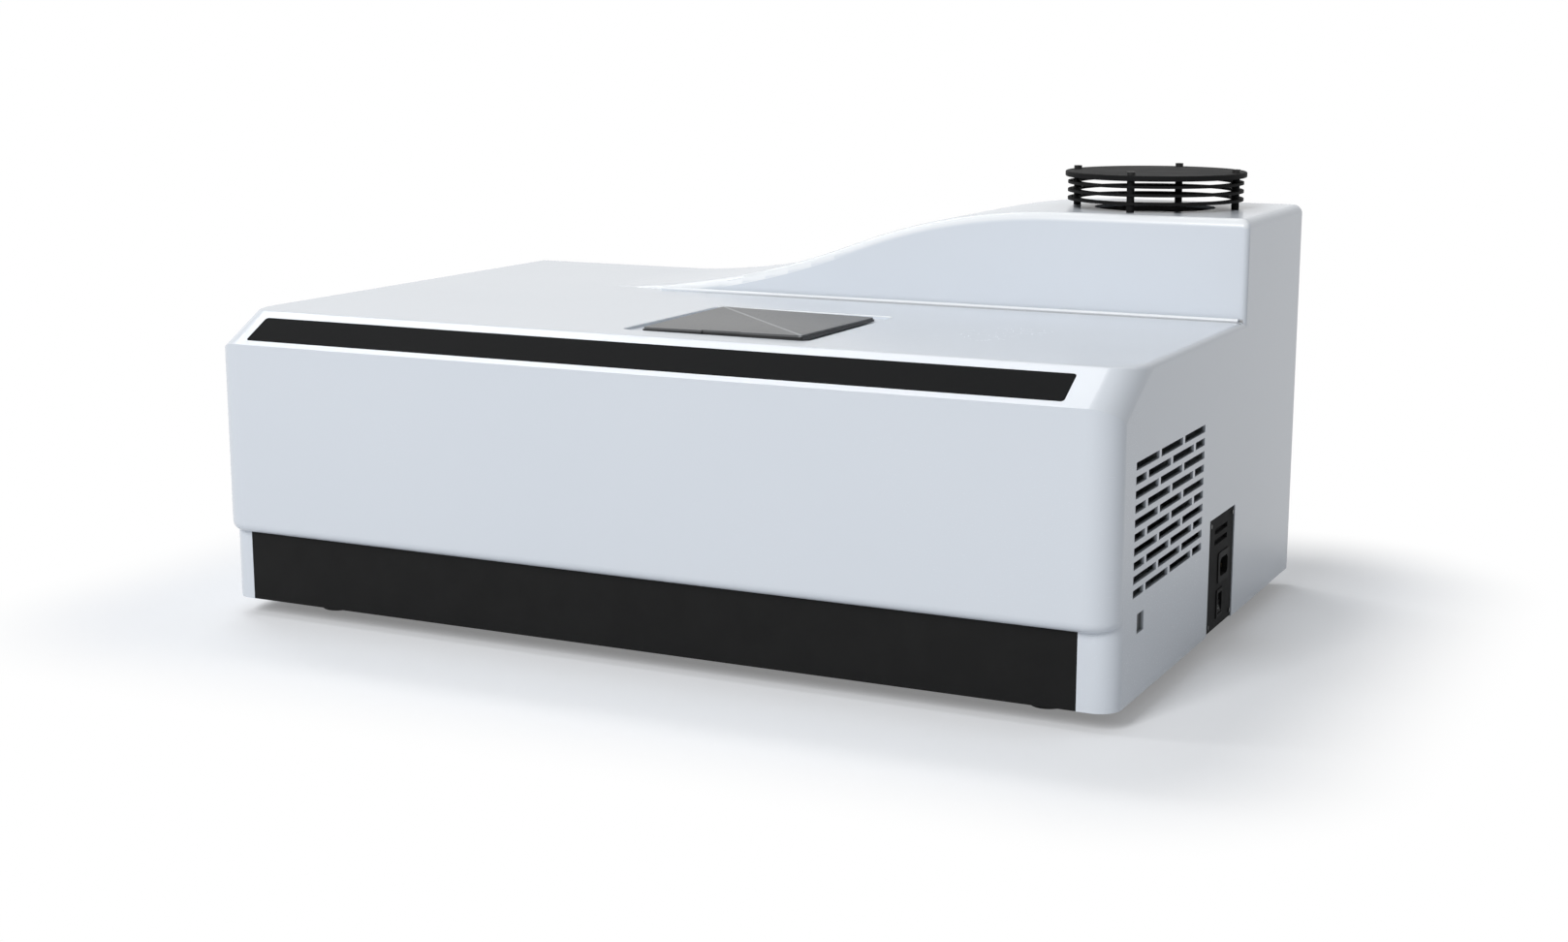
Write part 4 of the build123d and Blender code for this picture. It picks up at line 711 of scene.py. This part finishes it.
# %% [markdown]
# ## Gratings and band filters
#
# A ruled grating is a mirror with grooves finer than the eye can part. True diffraction would need the wavelength
# of the light, so a slow change of colour across the face stands in for it, with the grooves as a fine relief. The
# six filters are one piece on the wheel, so the colour comes from the angle about the hub.

# %% Ruled gratings
GROOVE_SCALE = 900.0
ORDER_SCALE, ORDER_STRETCH = 22, (1.0, 1.0, 0.3)

grating_group, where, leave = effect_group("ruled_grooves", ("Height", "Order"))
grooves = grating_group.nodes.new("ShaderNodeTexWave")
grooves.bands_direction = "X"
grooves.inputs["Scale"].default_value = GROOVE_SCALE
grating_group.links.new(where, grooves.inputs["Vector"])
order = noise(grating_group, where, ORDER_SCALE, 1.0, 0.5, ORDER_STRETCH)
grating_group.links.new(grooves.outputs["Fac"], leave.inputs["Height"])
grating_group.links.new(remap(grating_group, order, 0.3, 0.7), leave.inputs["Order"])

grating_coating = finish(
    "grating_coating", (0.62, 0.66, 0.80), (0.80, 0.74, 0.66), rough=(0.12, 0.20), metallic=1.0,
    group=grating_group, mask="Order", height="Height", bump=0.30, bump_depth=0.00002,
)
dress(grating_coating, "excitation_grating", "emission_grating")
print("gratings", grating_coating.name)

# %% Band filters, one colour for each place on the wheel
FILTER_COLOURS = [(0.30, 0.10, 0.75), (0.10, 0.30, 0.85), (0.10, 0.65, 0.55), (0.35, 0.75, 0.15),
                  (0.90, 0.60, 0.08), (0.80, 0.12, 0.06)]

filters = finish("filter_glass", FILTER_COLOURS[0], rough=(0.02, 0.08), group=paint_group, mask="Smudge",
                 IOR=1.52, Transmission_Weight=0.85)
tree = filters.node_tree
wheel_low, wheel_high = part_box("filter_wheel")
place = tree.nodes.new("ShaderNodeTexCoord")
shift = tree.nodes.new("ShaderNodeVectorMath")
shift.operation = "SUBTRACT"
shift.inputs[1].default_value = [(low + high) / 2 for low, high in zip(wheel_low, wheel_high)]
tree.links.new(place.outputs["Object"], shift.inputs[0])
from_hub = tree.nodes.new("ShaderNodeSeparateXYZ")
tree.links.new(shift.outputs["Vector"], from_hub.inputs["Vector"])
angle = combine(tree, "ARCTAN2", from_hub.outputs["Z"], from_hub.outputs["X"])
turn_share = remap(tree, angle, -tau / 2, tau / 2)
palette = tree.nodes.new("ShaderNodeValToRGB")
palette.color_ramp.interpolation = "CONSTANT"
for index, colour in enumerate(FILTER_COLOURS):
    if index < 2:
        stop = palette.color_ramp.elements[index]
        stop.position = index / len(FILTER_COLOURS)
    else:
        stop = palette.color_ramp.elements.new(index / len(FILTER_COLOURS))
    stop.color = (*colour, 1)
tree.links.new(turn_share, palette.inputs["Fac"])
tree.links.new(palette.outputs["Color"], tree.nodes["Principled BSDF"].inputs["Base Color"])
dress(filters, "band_filters")
print("filter colours", len(FILTER_COLOURS))

# %% [markdown]
# ## Motors and circuit board
#
# Motor casings are dark steel, the lamp's socket is glazed ceramic and the contact pins are plated brass. The
# board's copper could be drawn track by track. At this distance a brick pattern with long bricks reads the same:
# its joints are the tracks, raised a little and a lighter green under the coating.

# %% Motors, ceramic and brass
motor_casing = finish(
    "motor_casing", (0.06, 0.06, 0.065), (0.09, 0.09, 0.095), rough=(0.38, 0.50), metallic=0.7,
    group=brushed_group, mask="Streak", height="Height", bump=0.15, bump_depth=0.00003,
)
lamp_ceramic = finish(
    "lamp_ceramic", (0.72, 0.69, 0.62), (0.80, 0.78, 0.72), rough=(0.25, 0.40), group=grain_group,
    mask="Patch", height="Height", bump=0.20, bump_depth=0.00005,
)
plated_brass = finish(
    "plated_brass", (0.62, 0.47, 0.22), (0.74, 0.60, 0.32), rough=(0.18, 0.30), metallic=1.0,
    group=brushed_group, mask="Streak", height="Height", bump=0.10, bump_depth=0.00002,
)
dress(motor_casing, "grating_motors", "filter_motor")
dress(lamp_ceramic, "lamp_socket")
dress(plated_brass, "inlet_pins", "board_standoffs")
print("casing, ceramic and brass", motor_casing.name, lamp_ceramic.name, plated_brass.name)

# %% Circuit board
TRACK_PATTERN = (("Scale", 90.0), ("Mortar Size", 0.03), ("Brick Width", 0.9), ("Row Height", 0.22))

board_group, where, leave = effect_group("copper_pattern", ("Height", "Copper"))
tracks = board_group.nodes.new("ShaderNodeTexBrick")
for socket, value in TRACK_PATTERN:
    tracks.inputs[socket].default_value = value
for socket in ("Color1", "Color2"):
    tracks.inputs[socket].default_value = (0, 0, 0, 1)
tracks.inputs["Mortar"].default_value = (1, 1, 1, 1)
board_group.links.new(where, tracks.inputs["Vector"])
board_group.links.new(tracks.outputs["Color"], leave.inputs["Copper"])
board_group.links.new(tracks.outputs["Fac"], leave.inputs["Height"])

board_laminate = finish(
    "board_laminate", (0.008, 0.085, 0.035), (0.020, 0.160, 0.070), rough=(0.28, 0.22), group=board_group,
    mask="Copper", height="Height", bump=0.25, bump_depth=0.00004,
)
chip_epoxy = finish(
    "chip_epoxy", (0.012, 0.012, 0.013), (0.020, 0.020, 0.021), rough=(0.50, 0.62), group=grain_group,
    mask="Patch", height="Height", bump=0.30, bump_depth=0.00005,
)
dress(board_laminate, "control_board")
dress(chip_epoxy, "board_chips")
undressed = [name for name, node in frame["nodes"].items()
             if node.data.materials[0] is None or not node.data.materials[0].use_nodes]
print("nodes without a finish:", undressed)

# %% [markdown]
# ## Small fittings
#
# The rocker carries the two generic marks of a mains switch, a bar and a ring, printed a hair proud of its two
# faces. Each slim port holds a tongue with a row of contacts. A boolean could cut them, but they are so small
# that a few mesh faces on named places are clearer, and they ride on the body that carries them.

# %% Printed shapes, and pieces that ride
MARK_HEIGHT = 0.00006


def add_outline(mesh, place, outer, inner=None):
    """Raise a flat shape, or the band between two loops, by the height of a mark."""
    loops = [loop for loop in (outer, inner) if loop]
    low, high = [[[mesh.verts.new(place @ Vector((x, y, level))) for x, y in loop] for loop in loops]
                 for level in (0.0, MARK_HEIGHT)]
    for index in range(len(outer)):
        after = (index + 1) % len(outer)
        mesh.faces.new((low[0][index], low[0][after], high[0][after], high[0][index]))
        if inner:
            mesh.faces.new((low[1][after], low[1][index], high[1][index], high[1][after]))
            mesh.faces.new((high[0][index], high[0][after], high[1][after], high[1][index]))
            mesh.faces.new((low[0][after], low[0][index], low[1][index], low[1][after]))
    if not inner:
        mesh.faces.new(high[0])
        mesh.faces.new(list(reversed(low[0])))


def keep_piece(name, mesh, body, material):
    """Turn a bmesh into a piece that rides on a body."""
    bmesh.ops.recalc_face_normals(mesh, faces=mesh.faces)
    data = bpy.data.meshes.new(name)
    mesh.to_mesh(data)
    mesh.free()
    piece = bpy.data.objects.new(name, data)
    bpy.context.scene.collection.objects.link(piece)
    data.materials.append(material)
    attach(piece, body)
    return piece


print("printed marks stand", round(MARK_HEIGHT * 1000, 2), "mm high")

# %% Switch marks
RING_OUTER, RING_INNER, RING_POINTS = 0.0017, 0.0012, 40
BAR_HALF_WIDTH, BAR_HALF_HEIGHT = 0.0003, 0.0017
ROCKER_TILT = radians(8.0)
ROCKER_FRONT, ROCKER_DIP, ROCKER_HALF = 0.0015, 0.0013, 0.0082  # its two faces meet in a shallow valley


def ring_of(radius):
    """Points around a circle."""
    return [(radius * cos(tau * step / RING_POINTS), radius * sin(tau * step / RING_POINTS))
            for step in range(RING_POINTS)]


pivot = Vector(next(joint for joint in frame["record"]["behaviour"]["joints"]
                    if joint["name"] == "power_switch")["pos_m"])
outward = Vector((cos(ROCKER_TILT), 0, sin(ROCKER_TILT)))
upward = Vector((-sin(ROCKER_TILT), 0, cos(ROCKER_TILT)))
marks = bmesh.new()
for side in (1, -1):
    along = (outward * ROCKER_DIP + upward * side * ROCKER_HALF).normalized() * side
    middle = pivot + outward * (ROCKER_FRONT - ROCKER_DIP / 2) + upward * side * ROCKER_HALF / 2
    across = Vector((0, 1, 0))
    facet = Matrix((across, along, across.cross(along))).transposed().to_4x4()
    place = Matrix.Translation(middle) @ facet
    if side > 0:
        bar = [(x * BAR_HALF_WIDTH, y * BAR_HALF_HEIGHT) for x, y in ((1, 1), (-1, 1), (-1, -1), (1, -1))]
        add_outline(marks, place, bar)
    else:
        add_outline(marks, place, ring_of(RING_OUTER), ring_of(RING_INNER))
mark_ink = finish("mark_ink", (0.30, 0.30, 0.29), (0.36, 0.36, 0.35), rough=(0.50, 0.62), group=grain_group,
                  mask="Patch", height="Height", bump=0.20, bump_depth=0.00002)
keep_piece("switch_marks", marks, "switch", mark_ink)
print("the ring faces", [round(value, 2) for value in across.cross(along)])

# %% Port tongues and contacts
PORT_RIM, PORT_HEIGHT, PORT_SPACING, PORT_FLOOR = 0.0012, 0.0045, 0.009, 0.0024
TONGUE_BACK, TONGUE_SHORT, TONGUE_THICK, TONGUE_BEVEL = 0.0004, 0.003, 0.0014, 0.0003
TONGUE_MARGIN = 0.004
CONTACTS, CONTACT_WIDTH, CONTACT_THICK = 12, 0.0012, 0.00012
CONTACT_BACK, CONTACT_SHORT = 0.0006, 0.001  # how far it stops before each end of the tongue


def add_slab(mesh, low, high, bevel=0.0):
    """Block between two corners, with its edges eased when asked."""
    made = bmesh.ops.create_cube(mesh, size=1.0)["verts"]
    for vert in made:
        vert.co = Vector([a + (b - a) * (part + 0.5) for a, b, part in zip(low, high, vert.co)])
    if bevel:
        edges = list({edge for vert in made for edge in vert.link_edges})
        bmesh.ops.bevel(mesh, geom=edges, offset=bevel, segments=2, affect="EDGES", profile=0.5)


port_low, port_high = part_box("data_ports")
tongues, contacts = bmesh.new(), bmesh.new()
for row in range(2):
    level = port_low[2] + PORT_RIM + PORT_HEIGHT / 2 + row * PORT_SPACING
    back, front = port_low[0] + PORT_FLOOR - TONGUE_BACK, port_high[0] - TONGUE_SHORT
    left, right = port_low[1] + PORT_RIM + TONGUE_MARGIN, port_high[1] - PORT_RIM - TONGUE_MARGIN
    add_slab(tongues, (back, left, level - TONGUE_THICK / 2), (front, right, level + TONGUE_THICK / 2), TONGUE_BEVEL)
    pitch = (right - left) / CONTACTS
    for index in range(CONTACTS):
        centre = left + pitch * (index + 0.5)
        face = level + TONGUE_THICK / 2
        add_slab(contacts, (back + CONTACT_BACK, centre - CONTACT_WIDTH / 2, face),
                 (front - CONTACT_SHORT, centre + CONTACT_WIDTH / 2, face + CONTACT_THICK))
keep_piece("port_tongues", tongues, "cabinet", connector_plastic)
keep_piece("port_contacts", contacts, "cabinet", plated_brass)
print("contacts", 2 * CONTACTS)

# %% [markdown]
# ## Sizes
#
# Every fitting lies inside the solids' box, so the dressed model's box is the same as the CAD model's.

# %% Sizes
print("dressing done")
